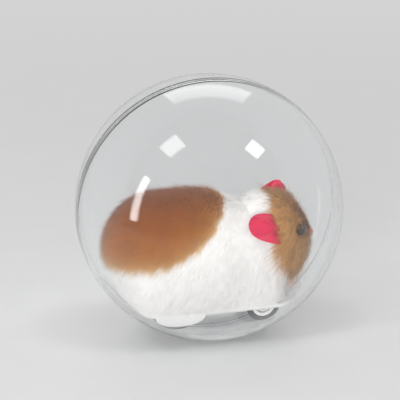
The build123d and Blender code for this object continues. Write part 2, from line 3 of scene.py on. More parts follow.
import bpy
import numpy as np
from bpy.props import FloatProperty, FloatVectorProperty, IntProperty, PointerProperty
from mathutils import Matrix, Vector


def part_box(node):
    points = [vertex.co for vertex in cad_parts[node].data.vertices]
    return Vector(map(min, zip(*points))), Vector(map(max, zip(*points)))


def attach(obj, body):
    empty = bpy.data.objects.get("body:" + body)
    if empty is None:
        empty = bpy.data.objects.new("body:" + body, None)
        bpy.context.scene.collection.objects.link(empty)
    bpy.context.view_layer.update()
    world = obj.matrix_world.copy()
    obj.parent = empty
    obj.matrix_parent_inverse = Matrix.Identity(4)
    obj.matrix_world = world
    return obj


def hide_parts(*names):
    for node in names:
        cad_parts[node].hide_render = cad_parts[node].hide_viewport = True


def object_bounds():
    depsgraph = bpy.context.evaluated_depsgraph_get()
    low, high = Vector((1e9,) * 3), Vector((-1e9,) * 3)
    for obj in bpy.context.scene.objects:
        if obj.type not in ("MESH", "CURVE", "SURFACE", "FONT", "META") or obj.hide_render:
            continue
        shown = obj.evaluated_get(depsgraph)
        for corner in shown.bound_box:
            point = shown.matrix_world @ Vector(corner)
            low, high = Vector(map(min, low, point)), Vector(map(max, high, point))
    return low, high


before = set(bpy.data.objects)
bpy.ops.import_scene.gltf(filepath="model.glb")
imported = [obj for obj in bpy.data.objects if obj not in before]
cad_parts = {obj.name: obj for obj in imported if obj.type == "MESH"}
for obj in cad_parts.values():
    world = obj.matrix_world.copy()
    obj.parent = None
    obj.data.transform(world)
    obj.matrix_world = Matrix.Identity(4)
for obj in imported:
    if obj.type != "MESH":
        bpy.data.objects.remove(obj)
CAD_BOX = [list(corner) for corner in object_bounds()]

bl_info = {
    "name": "Hamster ball",
    "version": (1, 0, 0),
    "blender": (4, 5, 0),
    "location": "View3D > Sidebar > Hamster ball",
    "description": "Dresses the rolling ball: clear halves, plush hamster, chassis finishes and stage",
    "category": "Object",
}

MM = 0.001
HEM_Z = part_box("plush_body")[0].z
BALL_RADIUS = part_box("ball_half_left")[1].x
LIP_LENGTH = -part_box("ball_half_left")[0].y
FLOOR_Z = CAD_BOX[0][2]
# Each half of the ball: latitude in degrees of the ring next to the pole, points on an arc.
LAST_RING = 89
ARC_POINTS = 60
EYE_RADIUS = 3.0 * MM
EYE_PLACE = np.array(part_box("eye_left")[1]) - EYE_RADIUS
EYE_PLACES = (EYE_PLACE, EYE_PLACE * (1, -1, 1))
NOSE_REACH = 3.2 * MM
NOSE_PLACE = np.array(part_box("nose")[1]) - NOSE_REACH
# Half sizes of the beads across, up and along their facing way.
EYE_BEAD = (EYE_RADIUS, EYE_RADIUS, 2.9 * MM)
NOSE_BEAD = (3.1 * MM, 2.5 * MM, 3.0 * MM)
# No strand passes this radius, so that the pile keeps clear of the ball's wall.
PILE_REACH = 66.2 * MM
# Seeded spread of the strands' lengths and widths, their largest roll in radians about their own
# line, and the painted light at their tips: how much lighter they are than the coat.
LENGTH_SPREAD = (0.72, 1.18)
WIDTH_SPREAD = (0.7, 1.3)
STRAND_ROLL = 0.6
PAINTED_TIP_LIGHT = 1.12
# Distances from the middle of an eye and of the nose: no root within the first, no long strand
# within the second.
EYE_ROOM = (3.6 * MM, 4.2 * MM)
NOSE_ROOM = (4.2 * MM, 4.6 * MM)
# Depths in millimetres past which head and body hide each other's pile, and height of the head's
# lowest roots.
HIDDEN_IN_HEAD = 5.0
HIDDEN_IN_BODY = 2.5
LOWEST_HEAD_ROOT = 3.0
# Seeds of the colour patterns, and the painted shade of the backing cloth under its pile, as a factor on the
# pile's colour.
BODY_PATTERN = 11
HEAD_PATTERN = 51
BODY_BACKING_PAINTED_SHADE = 0.92
HEAD_BACKING_PAINTED_SHADE = 0.8

# Stuffed body along X in millimetres: place, half width at the widest line, height of that line
# above the hem, height of the underside above the hem, half width of the underside.
BODY_STATIONS = [
    (-54.6, 0.3, 27.2, 26.9, 0.2),
    (-53.4, 8.0, 27.0, 19.5, 5.4),
    (-48.0, 19.0, 25.5, 8.5, 14.0),
    (-43.0, 25.0, 24.0, 3.0, 20.5),
    (-36.0, 30.0, 23.0, 0.0, 26.9),
    (-20.0, 33.0, 22.0, 0.0, 28.8),
    (0.0, 32.5, 21.5, 0.0, 28.7),
    (14.0, 29.5, 20.5, 0.0, 27.7),
    (26.0, 27.5, 19.5, 0.0, 26.9),
    (31.5, 26.2, 18.3, 0.0, 25.6),
    (36.0, 22.2, 16.2, 0.4, 21.2),
    (39.4, 15.0, 14.3, 2.6, 13.6),
    (41.0, 0.3, 13.0, 12.7, 0.2),
]
# Hollow under the body for the housing and the wheels: place along X, height above the hem.
HOLLOW_STATIONS = [(-37.5, 0.0), (-35.8, 27.2), (1.6, 27.2), (3.2, 19.0), (35.4, 19.0), (37.0, 0.0)]
HOLLOW_HALF_WIDTH = 25.8
# Head along X in millimetres: place, radius, height of the middle above the hem.
HEAD_STATIONS = [
    (13.5, 0.3, 33.5),
    (15.0, 11.5, 33.0),
    (19.5, 19.5, 31.5),
    (28.0, 25.0, 29.5),
    (39.0, 24.5, 28.0),
    (48.0, 18.0, 26.5),
    (53.4, 8.5, 25.5),
    (55.0, 0.3, 25.2),
]
# Front paw along X in millimetres: place, radius, height of the middle above the hem.
PAW_STATIONS = [
    (34.0, 0.2, 5.6),
    (34.8, 2.8, 5.5),
    (38.0, 4.5, 5.0),
    (42.0, 4.2, 4.3),
    (44.4, 2.4, 4.0),
    (45.0, 0.2, 4.0),
]
PAW_Y = 9.0
# Ears: middle in millimetres with its height above the hem, way from root to tip, way outwards.
EAR_LEFT = ((38.0, 16.5, 44.8), (0.55, -0.35, 0.75), (0.10, 0.90, 0.42))
EAR_RIGHT = ((24.5, -23.4, 42.3), (-0.93, 0.13, 0.20), (-0.12, -0.88, 0.46))
# Height of an ear's fold, depth of its crease and slant of its root.
EAR_FOLD = 2.0 * MM
EAR_CREASE = 1.6 * MM
EAR_SLANT = 3.0 * MM
# Lower edge of the coloured saddle: place along X, height above the hem.
SADDLE_EDGE = [
    (-56.0, 19.3),
    (-49.6, 20.7),
    (-41.0, 22.8),
    (-27.0, 25.8),
    (-17.0, 30.2),
    (-6.0, 37.8),
    (4.0, 48.0),
    (8.2, 53.0),
    (11.6, 62.0),
]
# Back edge of the long face pile on the head: height above the hem, place along X.
FACE_EDGE = [
    (0.0, 41.0),
    (8.0, 38.0),
    (16.0, 35.0),
    (22.0, 33.6),
    (34.0, 30.8),
    (46.0, 31.2),
    (55.0, 34.0),
]
# On the head's middle plane, place along X and height above the hem: the pale muzzle's middle and
# the point from which the face pile is combed away.
MUZZLE = (54.0, 20.0)
PARTING = (60.0, 27.0)
# The face pile grows shorter past this place along X, and over this height above the hem.
SHORT_PAST_X = 46.0
SHORT_OVER_HEIGHT = 46.0
# The saddle and flank pile each come in a rear and a front piece, which meet at this place along X.
PILE_SPLIT_X = -12.0
# Looks of the pile: how much strands differ in shade, how far they stray, their painted shade at the
# root, which stands in for the shadows that the strands don't cast, and the number of steps from root
# to tip.
SADDLE_LOOK = {"mottle": 0.16, "stray": 0.18, "root": 0.70}
FLANK_LOOK = {"mottle": 0.06, "root": 0.84}
HEM_LOOK = {"mottle": 0.12, "steps": 3}
FACE_LOOK = {"mottle": 0.32, "stray": 0.26, "root": 0.80, "steps": 4}
# How far the pile stands off the skin. A share of the saddle's strands stand upright.
SADDLE_LIFT = 0.80
FLANK_LIFT = 0.62
HEM_LIFT = 0.22
FACE_LIFT = 0.60
UPRIGHT_LIFT = 1.5
UPRIGHT_SHARE = 0.14
# Ways in which the pile is combed.
BODY_COMB = np.array((-0.55, 0.0, -0.85))
HEM_COMB = np.array((-0.08, 0.0, -1.0))
CHEEK_COMB = np.array((-0.6, 0.0, -0.8))
FACE_COMB = np.array((-0.25, 0.0, -0.62))
# Motor leads in millimetres: from a terminal down the side and along to the cells or the switch.
RED_ROUTE = [
    (-15.715, -13.2, -32.652),
    (-15.715, -13.2, -39.4),
    (-15.715, -13.2, -46.202),
    (-18.2, -13.2, -46.202),
]
BLACK_ROUTE = [
    (-7.715, -13.2, -32.652),
    (-7.715, -13.2, -42.0),
    (-7.715, -13.2, -50.952),
    (-31.0, -13.2, -50.952),
]


def put_mesh(name, points, faces):
    """A smooth-shaded mesh object from an (n, 3) array of points and a list of face arrays."""
    corners = np.concatenate([group.ravel() for group in faces])
    sides = np.concatenate([np.full(len(group), group.shape[1]) for group in faces])
    starts = np.cumsum(sides) - sides
    mesh = bpy.data.meshes.new(name)
    mesh.vertices.add(len(points))
    mesh.vertices.foreach_set("co", np.asarray(points, np.float32).ravel())
    mesh.loops.add(len(corners))
    mesh.loops.foreach_set("vertex_index", corners.astype(np.int32))
    mesh.polygons.add(len(sides))
    mesh.polygons.foreach_set("loop_start", starts.astype(np.int32))
    mesh.polygons.foreach_set("use_smooth", np.ones(len(sides), bool))
    mesh.update(calc_edges=True)
    mesh.validate()
    piece = bpy.data.objects.new(name, mesh)
    bpy.context.scene.collection.objects.link(piece)
    return piece


def put_map(piece, name, places):
    """A UV map from one (u, v) place for each point of the piece."""
    corners = np.empty(len(piece.data.loops), np.int32)
    piece.data.loops.foreach_get("vertex_index", corners)
    layer = piece.data.uv_layers.new(name=name)
    layer.uv.foreach_set("vector", places[corners].astype(np.float32).ravel())


def store_colour(piece, colours):
    """Keeps one linear colour for each point in the piece's own attribute "pile"."""
    layer = piece.data.color_attributes.new("pile", "FLOAT_COLOR", "POINT")
    opaque = np.concatenate([colours, np.ones((len(colours), 1))], axis=1)
    layer.data.foreach_set("color", opaque.astype(np.float32).ravel())


def with_ends(rings):
    """The points of rings (n, m, 3) in one list, then the middles of the two end rings."""
    return np.concatenate([rings.reshape(-1, 3), [rings[0].mean(0)], [rings[-1].mean(0)]])


def skin(name, rings, points=None):
    """A closed surface over rings (n, m, 3): point j of ring i joins point j of ring i + 1, and a
    fan of triangles closes each end at one of the last two points, which are the end rings' middles
    unless they are given. The faces are turned outwards by the sign of the enclosed volume, a sixth
    of the sum of a . (b x c) over the triangles."""
    n, m, _ = rings.shape
    points = with_ends(rings) if points is None else points
    index = np.arange(n * m).reshape(n, m)
    after = np.roll(index, -1, axis=1)
    quads = np.stack([index[:-1], after[:-1], after[1:], index[1:]], -1).reshape(-1, 4)
    first = np.stack([np.full(m, n * m), after[0], index[0]], -1)
    last = np.stack([np.full(m, n * m + 1), index[-1], after[-1]], -1)
    triangles = np.concatenate([quads[:, [0, 1, 2]], quads[:, [0, 2, 3]], first, last])
    a, b, c = (points[triangles[:, k]] for k in range(3))
    if np.einsum("ij,ij->", a, np.cross(b, c)) < 0:
        quads, first, last = quads[:, ::-1], first[:, ::-1], last[:, ::-1]
    return put_mesh(name, points, [quads, np.concatenate([first, last])])


def through(stations, count):
    """Rows on a smooth curve through a table: cubic Hermite pieces over the chord length of the
    first two columns, with each tangent the slope between the two neighbours."""
    rows = np.asarray(stations, float)
    chords = np.linalg.norm(np.diff(rows[:, :2], axis=0), axis=1)
    knots = np.concatenate([[0.0], np.cumsum(chords)])
    slopes = np.gradient(rows, knots, axis=0)
    places = np.linspace(0.0, knots[-1], count)
    k = np.clip(np.searchsorted(knots, places, side="right") - 1, 0, len(knots) - 2)
    step = (knots[k + 1] - knots[k])[:, None]
    f = (places - knots[k])[:, None] / step
    start = (2 * f**3 - 3 * f**2 + 1) * rows[k] + (f**3 - 2 * f**2 + f) * step * slopes[k]
    return start + (3 * f**2 - 2 * f**3) * rows[k + 1] + (f**3 - f**2) * step * slopes[k + 1]


def unit(vectors):
    """The vectors at length one."""
    return vectors / np.maximum(np.linalg.norm(vectors, axis=-1, keepdims=True), 1e-12)


def ripple(points, wavelength, seed):
    """A smooth field from -1 to 1 over space: the mean of nine sine waves with seeded directions
    and phases, whose lengths spread round the wavelength."""
    rng = np.random.default_rng(seed)
    ways = unit(rng.normal(size=(9, 3))) * (2 * math.pi / wavelength) * rng.uniform(0.6, 1.7, (9, 1))
    phases = rng.uniform(0, 2 * math.pi, 9)
    return np.clip(np.sin(points @ ways.T + phases).mean(-1) * 2.2, -1, 1)


def grid_normals(grid, closed):
    """Unit normals of a surface grid (n, m, 3): the cross product of its two parameter derivatives.
    The second parameter runs right round where closed is true."""
    along = np.gradient(grid, axis=0)
    if closed:
        across = (np.roll(grid, -1, axis=1) - np.roll(grid, 1, axis=1)) / 2
    else:
        across = np.gradient(grid, axis=1)
    return unit(np.cross(along, across))


def scatter(grid, normals, count, seed, closed):
    """Points spread evenly by area over a surface grid: cells are drawn with a chance equal to
    their share of the area, and a point in a cell is the bilinear mean of its corners. Returns the
    points and normals."""
    rng = np.random.default_rng(seed)
    if closed:
        grid = np.concatenate([grid, grid[:, :1]], axis=1)
        normals = np.concatenate([normals, normals[:, :1]], axis=1)
    sides = np.cross(grid[1:, :-1] - grid[:-1, :-1], grid[:-1, 1:] - grid[:-1, :-1])
    far_sides = np.cross(grid[1:, 1:] - grid[1:, :-1], grid[1:, 1:] - grid[:-1, 1:])
    area = np.linalg.norm(sides, axis=-1) + np.linalg.norm(far_sides, axis=-1)
    cell = np.searchsorted(np.cumsum(area.ravel()) / area.sum(), rng.random(count))
    i, j = np.unravel_index(np.minimum(cell, area.size - 1), area.shape)
    f, g = rng.random((2, count, 1))

    def at(field):
        near = field[i, j] * (1 - g) + field[i, j + 1] * g
        return near * (1 - f) + (field[i + 1, j] * (1 - g) + field[i + 1, j + 1] * g) * f

    return at(grid), unit(at(normals))


def pile(name, roots, normals, comb, length, colours, lift, width, seed,
         mottle, stray=0.13, root=0.70, steps=2):
    """A coat of tapered ribbons, one for each root. With t from 0 to 1, a strand of length l runs
    from its root r along p(t) = r + l (k n (1.15 t - 0.55 t^2) + c (0.45 t + 0.5 t^2) + t w), where
    n is the skin's normal, k the lift, c the combed direction and w a seeded wander of the size
    stray. Its half width falls to a point as (1 - t)^0.7. Its colour carries painted shade and
    painted light: it rises from a painted shade of root at the skin to a painted light at the tip,
    in place of the shadows within the coat, and each strand is lighter or darker by up to the
    mottle. Every strand has one shading normal close to the skin's own, so that the coat takes
    light as one soft surface, and casts no shadow."""
    rng = np.random.default_rng(seed)
    count = len(roots)
    t = np.linspace(0.0, 1.0, steps + 1)[None, :, None]
    wander = rng.normal(scale=stray, size=(count, 3))
    length = (length * rng.uniform(*LENGTH_SPREAD, count))[:, None, None]
    rise = normals[:, None] * (1.15 * lift * t - 0.55 * lift * t**2)
    sweep = comb[:, None] * (0.45 * t + 0.5 * t**2)
    line = roots[:, None] + length * (rise + sweep + wander[:, None] * t)
    line *= np.minimum(1.0, PILE_REACH / np.linalg.norm(line, axis=-1, keepdims=True))
    way = unit(np.gradient(line, axis=1))
    roll = rng.uniform(-STRAND_ROLL, STRAND_ROLL, count)[:, None, None]
    across = unit(np.cross(way, np.broadcast_to(normals[:, None], way.shape)))
    face = np.cross(across, way)
    across = across * np.cos(roll) + face * np.sin(roll)
    half = (width * rng.uniform(*WIDTH_SPREAD, count))[:, None, None] / 2 * (1 - t) ** 0.7
    left, right = line - across * half, line + across * half
    body = np.stack([left[:, :-1], right[:, :-1]], axis=2).reshape(count, -1, 3)
    points = np.concatenate([body, line[:, -1:]], axis=1)
    size = 2 * steps + 1
    base = np.arange(count)[:, None, None] * size
    k = np.arange(steps - 1)[None, :, None] * 2
    quads = (base + k + np.array([0, 1, 3, 2])).reshape(-1, 4)
    tips = (base[:, 0] + np.array([size - 3, size - 2, size - 1])).reshape(-1, 3)
    piece = put_mesh(name, points.reshape(-1, 3), [quads, tips])
    along = np.append(np.repeat(t[0, :-1, 0], 2), 1.0)[None, :, None]
    # Painted shade at the root and painted light at the tip, standing in for the shadows that the strands
    # don't cast.
    shade = root + (PAINTED_TIP_LIGHT - root) * along
    shade = shade * rng.uniform(1 - mottle, 1 + mottle, (count, 1, 1))
    store_colour(piece, np.clip(colours[:, None] * shade, 0, 1).reshape(-1, 3))
    soft = unit(normals * 0.8 + comb * 0.2 + rng.normal(scale=0.16, size=(count, 3)))
    piece.data.normals_split_custom_set_from_vertices(np.repeat(soft, size, axis=0).tolist())
    sides = np.append(np.tile((0.2, 0.8), steps), 0.5)
    lay_out(piece, roots, np.stack([sides, 0.15 + 0.7 * along[0, :, 0]], -1))
    piece.visible_shadow = False
    return piece


def lay_out(piece, roots, strand):
    """A UV map with a square cell for each strand, so that a bake keeps every strand's colour:
    strands in the order of X fill the columns of a square, and the turn round X gives the order in
    a column. The strand's points in the unit square are moved to its cell."""
    count = len(roots)
    side = math.ceil(math.sqrt(count))
    column = np.argsort(np.argsort(roots[:, 0])) // side
    order = np.lexsort((np.arctan2(roots[:, 1], roots[:, 2]), column))
    row = np.argsort(order) % side
    places = (np.stack([column, row], -1)[:, None] + strand) / side
    put_map(piece, "OFBake", places.reshape(-1, 2))


def dress(piece, body, material, slot, *nodes):
    """Gives a finished piece its material and its body, and hides the nodes that it stands for. The slot is
    not used.
    """
    piece.data.materials.clear()
    piece.data.materials.append(material)
    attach(piece, body)
    if nodes:
        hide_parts(*nodes)


def start_material(name):
    """A new node material, its node tree and its main shader."""
    material = bpy.data.materials.new(name)
    material.use_nodes = True
    shader = material.node_tree.nodes["Principled BSDF"]
    return material, material.node_tree, shader


def node(tree, kind, **inputs):
    """A shader node with its named sockets set."""
    made = tree.nodes.new(kind)
    for socket, value in inputs.items():
        made.inputs[socket.replace("_", " ")].default_value = value
    return made


def object_noise(tree, scale, detail=3.0, roughness=0.55, stretch=(1.0, 1.0, 1.0)):
    """A noise pattern on the piece's own coordinates, finer along the larger stretch values."""
    place = tree.nodes.new("ShaderNodeTexCoord")
    mapping = tree.nodes.new("ShaderNodeMapping")
    mapping.inputs["Scale"].default_value = stretch
    noise = node(tree, "ShaderNodeTexNoise", Scale=scale, Detail=detail, Roughness=roughness)
    tree.links.new(place.outputs["Object"], mapping.inputs["Vector"])
    tree.links.new(mapping.outputs["Vector"], noise.inputs["Vector"])
    return noise.outputs["Fac"]


def ramp(tree, source, low, high, start=0.3, end=0.7):
    """A colour ramp from low to high over part of the source's range."""
    made = tree.nodes.new("ShaderNodeValToRGB")
    made.color_ramp.elements[0].position = start
    made.color_ramp.elements[1].position = end
    made.color_ramp.elements[0].color = (*low, 1.0)
    made.color_ramp.elements[1].color = (*high, 1.0)
    tree.links.new(source, made.inputs["Fac"])
    return made.outputs["Color"]


def span(tree, source, low, high):
    """The source's range from 0 to 1 mapped to low and high."""
    made = node(tree, "ShaderNodeMapRange", To_Min=low, To_Max=high)
    tree.links.new(source, made.inputs["Value"])
    return made.outputs["Result"]


def paint(tree, shader, source, colour, low, high, start=0.3, end=0.7):
    """The shader's colour: shades of one colour over a pattern, from its low to its high factor."""
    shades = ramp(tree, source, shade_of(colour, low), shade_of(colour, high), start, end)
    tree.links.new(shades, shader.inputs["Base Color"])


def dull(tree, shader, source, low, high):
    """The shader's roughness, from low to high over a pattern."""
    tree.links.new(span(tree, source, low, high), shader.inputs["Roughness"])


def combine(tree, operation, *sources):
    """A Math node over the sources, each of them a socket or a number."""
    made = tree.nodes.new("ShaderNodeMath")
    made.operation = operation
    for socket, source in zip(made.inputs, sources):
        if isinstance(source, float):
            socket.default_value = source
        else:
            tree.links.new(source, socket)
    return made.outputs["Value"]


def change_over(tree, share, first, second):
    """The material's surface: the first shader at a share of 0 and the second at a share of 1."""
    mix = tree.nodes.new("ShaderNodeMixShader")
    tree.links.new(share, mix.inputs["Fac"])
    tree.links.new(first, mix.inputs[1])
    tree.links.new(second, mix.inputs[2])
    tree.links.new(mix.outputs["Shader"], tree.nodes["Material Output"].inputs["Surface"])


def relief(tree, shader, source, strength, distance):
    """Small relief on the shader from a pattern."""
    bump = node(tree, "ShaderNodeBump", Strength=strength, Distance=distance)
    tree.links.new(source, bump.inputs["Height"])
    tree.links.new(bump.outputs["Normal"], shader.inputs["Normal"])


def shade_of(colour, factor):
    """The colour made lighter or darker."""
    return tuple(min(1.0, channel * factor) for channel in colour)


def moulded_plastic(name, colour, gloss, coat=0.0):
    """Moulded plastic: faint flow marks, fine handling marks in the gloss and a slight ripple."""
    material, tree, shader = start_material(name)
    flow = object_noise(tree, 60.0, stretch=(1.0, 2.0, 3.0))
    paint(tree, shader, flow, colour, 0.93, 1.04)
    dull(tree, shader, object_noise(tree, 900.0, detail=4.0), gloss - 0.06, gloss + 0.10)
    relief(tree, shader, object_noise(tree, 220.0), 0.08, 0.0002)
    shader.inputs["IOR"].default_value = 1.5
    shader.inputs["Coat Weight"].default_value = coat
    shader.inputs["Coat Roughness"].default_value = 0.12
    return material


def brushed_metal(name, colour, gloss):
    """Drawn metal: fine lines along X in gloss and relief, and slight tarnish in the colour."""
    material, tree, shader = start_material(name)
    lines = object_noise(tree, 300.0, detail=2.0, stretch=(0.15, 6.0, 6.0))
    tarnish = object_noise(tree, 90.0)
    paint(tree, shader, tarnish, colour, 0.78, 1.08)
    dull(tree, shader, lines, gloss - 0.08, gloss + 0.14)
    relief(tree, shader, lines, 0.15, 0.0001)
    shader.inputs["Metallic"].default_value = 1.0
    return material


def tyre_rubber(name, colour):
    """Soft rubber: dusty mottling, a dull surface and fine grain."""
    material, tree, shader = start_material(name)
    dust = object_noise(tree, 180.0, detail=5.0)
    paint(tree, shader, dust, colour, 0.7, 1.9, 0.35, 0.8)
    dull(tree, shader, dust, 0.62, 0.88)
    relief(tree, shader, object_noise(tree, 1500.0), 0.35, 0.0002)
    return material


def clear_plastic(name, tint, index, gloss):
    """Clear polished plastic: faint moulding ripple and hairline scuffs. It lets lamp light pass."""
    material, tree, shader = start_material(name)
    shader.inputs["Base Color"].default_value = (*tint, 1.0)
    shader.inputs["Transmission Weight"].default_value = 1.0
    shader.inputs["IOR"].default_value = index
    scuffs = object_noise(tree, 700.0, detail=6.0, roughness=0.7, stretch=(1.0, 0.3, 1.0))
    dull(tree, shader, scuffs, gloss, gloss + 0.03)
    relief(tree, shader, object_noise(tree, 22.0, detail=1.0), 0.04, 0.001)
    passing = node(tree, "ShaderNodeBsdfTransparent", Color=(*tint, 1.0))
    light = tree.nodes.new("ShaderNodeLightPath")
    change_over(tree, light.outputs["Is Shadow Ray"], shader.outputs["BSDF"], passing.outputs["BSDF"])
    return material


def fur(name, sheen):
    """Plush pile: the colour kept in each strand, mottled in tufts, dull with a soft sheen."""
    material, tree, shader = start_material(name)
    kept = tree.nodes.new("ShaderNodeAttribute")
    kept.attribute_name = "pile"
    tufts = object_noise(tree, 260.0, detail=4.0)
    mix = tree.nodes.new("ShaderNodeMix")
    mix.data_type = "RGBA"
    mix.blend_type = "MULTIPLY"
    mix.inputs[0].default_value = 1.0
    tree.links.new(kept.outputs["Color"], mix.inputs[6])
    tree.links.new(ramp(tree, tufts, (0.93, 0.925, 0.92), (1.0, 1.0, 1.0)), mix.inputs[7])
    tree.links.new(mix.outputs[2], shader.inputs["Base Color"])
    dull(tree, shader, tufts, 0.72, 0.95)
    shader.inputs["Specular IOR Level"].default_value = 0.25
    shader.inputs["Sheen Weight"].default_value = sheen
    shader.inputs["Sheen Roughness"].default_value = 0.45
    return material


def satin(name, colour):
    """Satin cloth: a fine weave over the UV map, lighter and glossier on the floats, with sheen."""
    material, tree, shader = start_material(name)
    place = tree.nodes.new("ShaderNodeTexCoord")
    weave = node(tree, "ShaderNodeTexWave", Scale=26.0, Distortion=0.6)
    tree.links.new(place.outputs["UV"], weave.inputs["Vector"])
    floats = combine(tree, "MULTIPLY_ADD", weave.outputs["Fac"], 0.4, object_noise(tree, 240.0))
    paint(tree, shader, floats, colour, 0.80, 1.12, 0.25, 0.9)
    dull(tree, shader, floats, 0.52, 0.34)
    relief(tree, shader, weave.outputs["Fac"], 0.12, 0.0001)
    shader.inputs["Sheen Weight"].default_value = 0.15
    shader.inputs["Sheen Roughness"].default_value = 0.3
    shader.inputs["Sheen Tint"].default_value = (1.0, 0.35, 0.5, 1.0)
    return material


def felt(name, colour):
    """Felt: cloudy colour, matted fibres in the relief and a soft sheen."""
    material, tree, shader = start_material(name)
    clouds = object_noise(tree, 350.0, detail=6.0, roughness=0.7)
    paint(tree, shader, clouds, colour, 0.78, 1.10)
    dull(tree, shader, clouds, 0.80, 0.98)
    relief(tree, shader, object_noise(tree, 1600.0, detail=5.0), 0.5, 0.0003)
    shader.inputs["Sheen Weight"].default_value = 0.4
    return material


class BallSettings(bpy.types.PropertyGroup):
    """Sizes and finish of the two clear halves."""

    wall: FloatProperty(
        name="Wall", description="Thickness of the shell", default=2.4 * MM, unit="LENGTH"
    )
    lip: FloatProperty(
        name="Lip", description="Thickness of the lip at the seam", default=1.1 * MM, unit="LENGTH"
    )
    gap: FloatProperty(
        name="Lip gap", description="Play between lip and other half", default=0.15 * MM, unit="LENGTH"
    )
    edge: FloatProperty(
        name="Edge", description="Rounding of the seam's edge", default=0.5 * MM, unit="LENGTH"
    )
    tint: FloatVectorProperty(
        name="Tint", description="Colour of clear plastic", default=(0.985, 0.992, 0.994), subtype="COLOR"
    )
    index: FloatProperty(name="Index", description="Refractive index of the plastic", default=1.49)
    gloss: FloatProperty(name="Roughness", description="Roughness of the polished face", default=0.004)


class PlushSettings(bpy.types.PropertyGroup):
    """Colours and pile of the stuffed body and head."""

    # The saddle's brown over the top of the back holds painted shade as well as the plush's own colour.
    saddle: FloatVectorProperty(
        name="Saddle", description="Colour of the back", default=(0.315, 0.074, 0.002), subtype="COLOR"
    )
    tan: FloatVectorProperty(
        name="Tan", description="Colour of the saddle's side", default=(0.46, 0.155, 0.010), subtype="COLOR"
    )
    gold: FloatVectorProperty(
        name="Gold", description="Colour of the saddle's edge", default=(0.74, 0.49, 0.23), subtype="COLOR"
    )
    white: FloatVectorProperty(
        name="White", description="Colour of flanks and cheeks", default=(0.94, 0.915, 0.895), subtype="COLOR"
    )
    face: FloatVectorProperty(
        name="Face", description="Colour of the face pile", default=(0.52, 0.265, 0.085), subtype="COLOR"
    )
    muzzle: FloatVectorProperty(
        name="Muzzle", description="Colour round the nose", default=(1.0, 0.93, 0.80), subtype="COLOR"
    )
    inset: FloatProperty(
        name="Inset", description="Depth of the body's cloth", default=1.5 * MM, unit="LENGTH"
    )
    head_inset: FloatProperty(
        name="Head inset", description="Depth of the head's cloth", default=3.4 * MM, unit="LENGTH"
    )
    short_pile: FloatProperty(
        name="Short pile", description="Length of the body's pile", default=4.6 * MM, unit="LENGTH"
    )
    long_pile: FloatProperty(
        name="Long pile", description="Length of the face's pile", default=9.5 * MM, unit="LENGTH"
    )
    strand: FloatProperty(
        name="Strand", description="Width of a strand at its root", default=0.24 * MM, unit="LENGTH"
    )
    body_strands: IntProperty(name="Body strands", description="Strands on the body", default=140000)
    head_strands: IntProperty(name="Head strands", description="Strands on the head", default=60000)
    hem_strands: IntProperty(name="Hem strands", description="Strands along the hem", default=16000)
    sheen: FloatProperty(name="Sheen", description="Soft sheen of the pile", default=0.2)


class TrimSettings(bpy.types.PropertyGroup):
    """Ears, eyes, nose and paws."""

    ear: FloatVectorProperty(
        name="Ear", description="Colour of the satin ears", default=(0.66, 0.0, 0.06), subtype="COLOR"
    )
    ear_length: FloatProperty(
        name="Ear length", description="Root to tip", default=17.6 * MM, unit="LENGTH"
    )
    ear_width: FloatProperty(
        name="Ear width", description="Across the widest place", default=15.0 * MM, unit="LENGTH"
    )
    ear_thickness: FloatProperty(
        name="Ear thickness", description="Both satin layers and lining", default=1.8 * MM, unit="LENGTH"
    )
    eye: FloatVectorProperty(
        name="Eye", description="Colour of the bead eyes", default=(0.012, 0.009, 0.007), subtype="COLOR"
    )
    nose: FloatVectorProperty(
        name="Nose", description="Colour of the nose", default=(0.62, 0.16, 0.17), subtype="COLOR"
    )
    paw: FloatVectorProperty(
        name="Paw", description="Colour of the felt paws", default=(0.86, 0.50, 0.42), subtype="COLOR"
    )


class ChassisSettings(bpy.types.PropertyGroup):
    """Finishes of the housing, the drive and the wheels."""

    white: FloatVectorProperty(
        name="White", description="Colour of pan and wheels", default=(0.84, 0.83, 0.81), subtype="COLOR"
    )
    housing: FloatVectorProperty(
        name="Housing", description="Colour of the housing", default=(0.70, 0.70, 0.68), subtype="COLOR"
    )
    nylon: FloatVectorProperty(
        name="Nylon", description="Colour of the gears", default=(0.82, 0.79, 0.68), subtype="COLOR"
    )
    rubber: FloatVectorProperty(
        name="Rubber", description="Colour of the tyres", default=(0.045, 0.045, 0.05), subtype="COLOR"
    )
    steel: FloatVectorProperty(
        name="Steel", description="Colour of pins and screws", default=(0.60, 0.60, 0.61), subtype="COLOR"
    )
    brass: FloatVectorProperty(
        name="Brass", description="Colour of contacts", default=(0.72, 0.55, 0.28), subtype="COLOR"
    )
    wrap: FloatVectorProperty(
        name="Cell wrap", description="Colour of the cells", default=(0.06, 0.16, 0.10), subtype="COLOR"
    )
    black: FloatVectorProperty(
        name="Black", description="Colour of switch and lead", default=(0.025, 0.025, 0.028), subtype="COLOR"
    )
    red: FloatVectorProperty(
        name="Red", description="Colour of a lead", default=(0.55, 0.03, 0.03), subtype="COLOR"
    )
    lead: FloatProperty(
        name="Lead", description="Diameter of a motor lead", default=1.2 * MM, unit="LENGTH"
    )


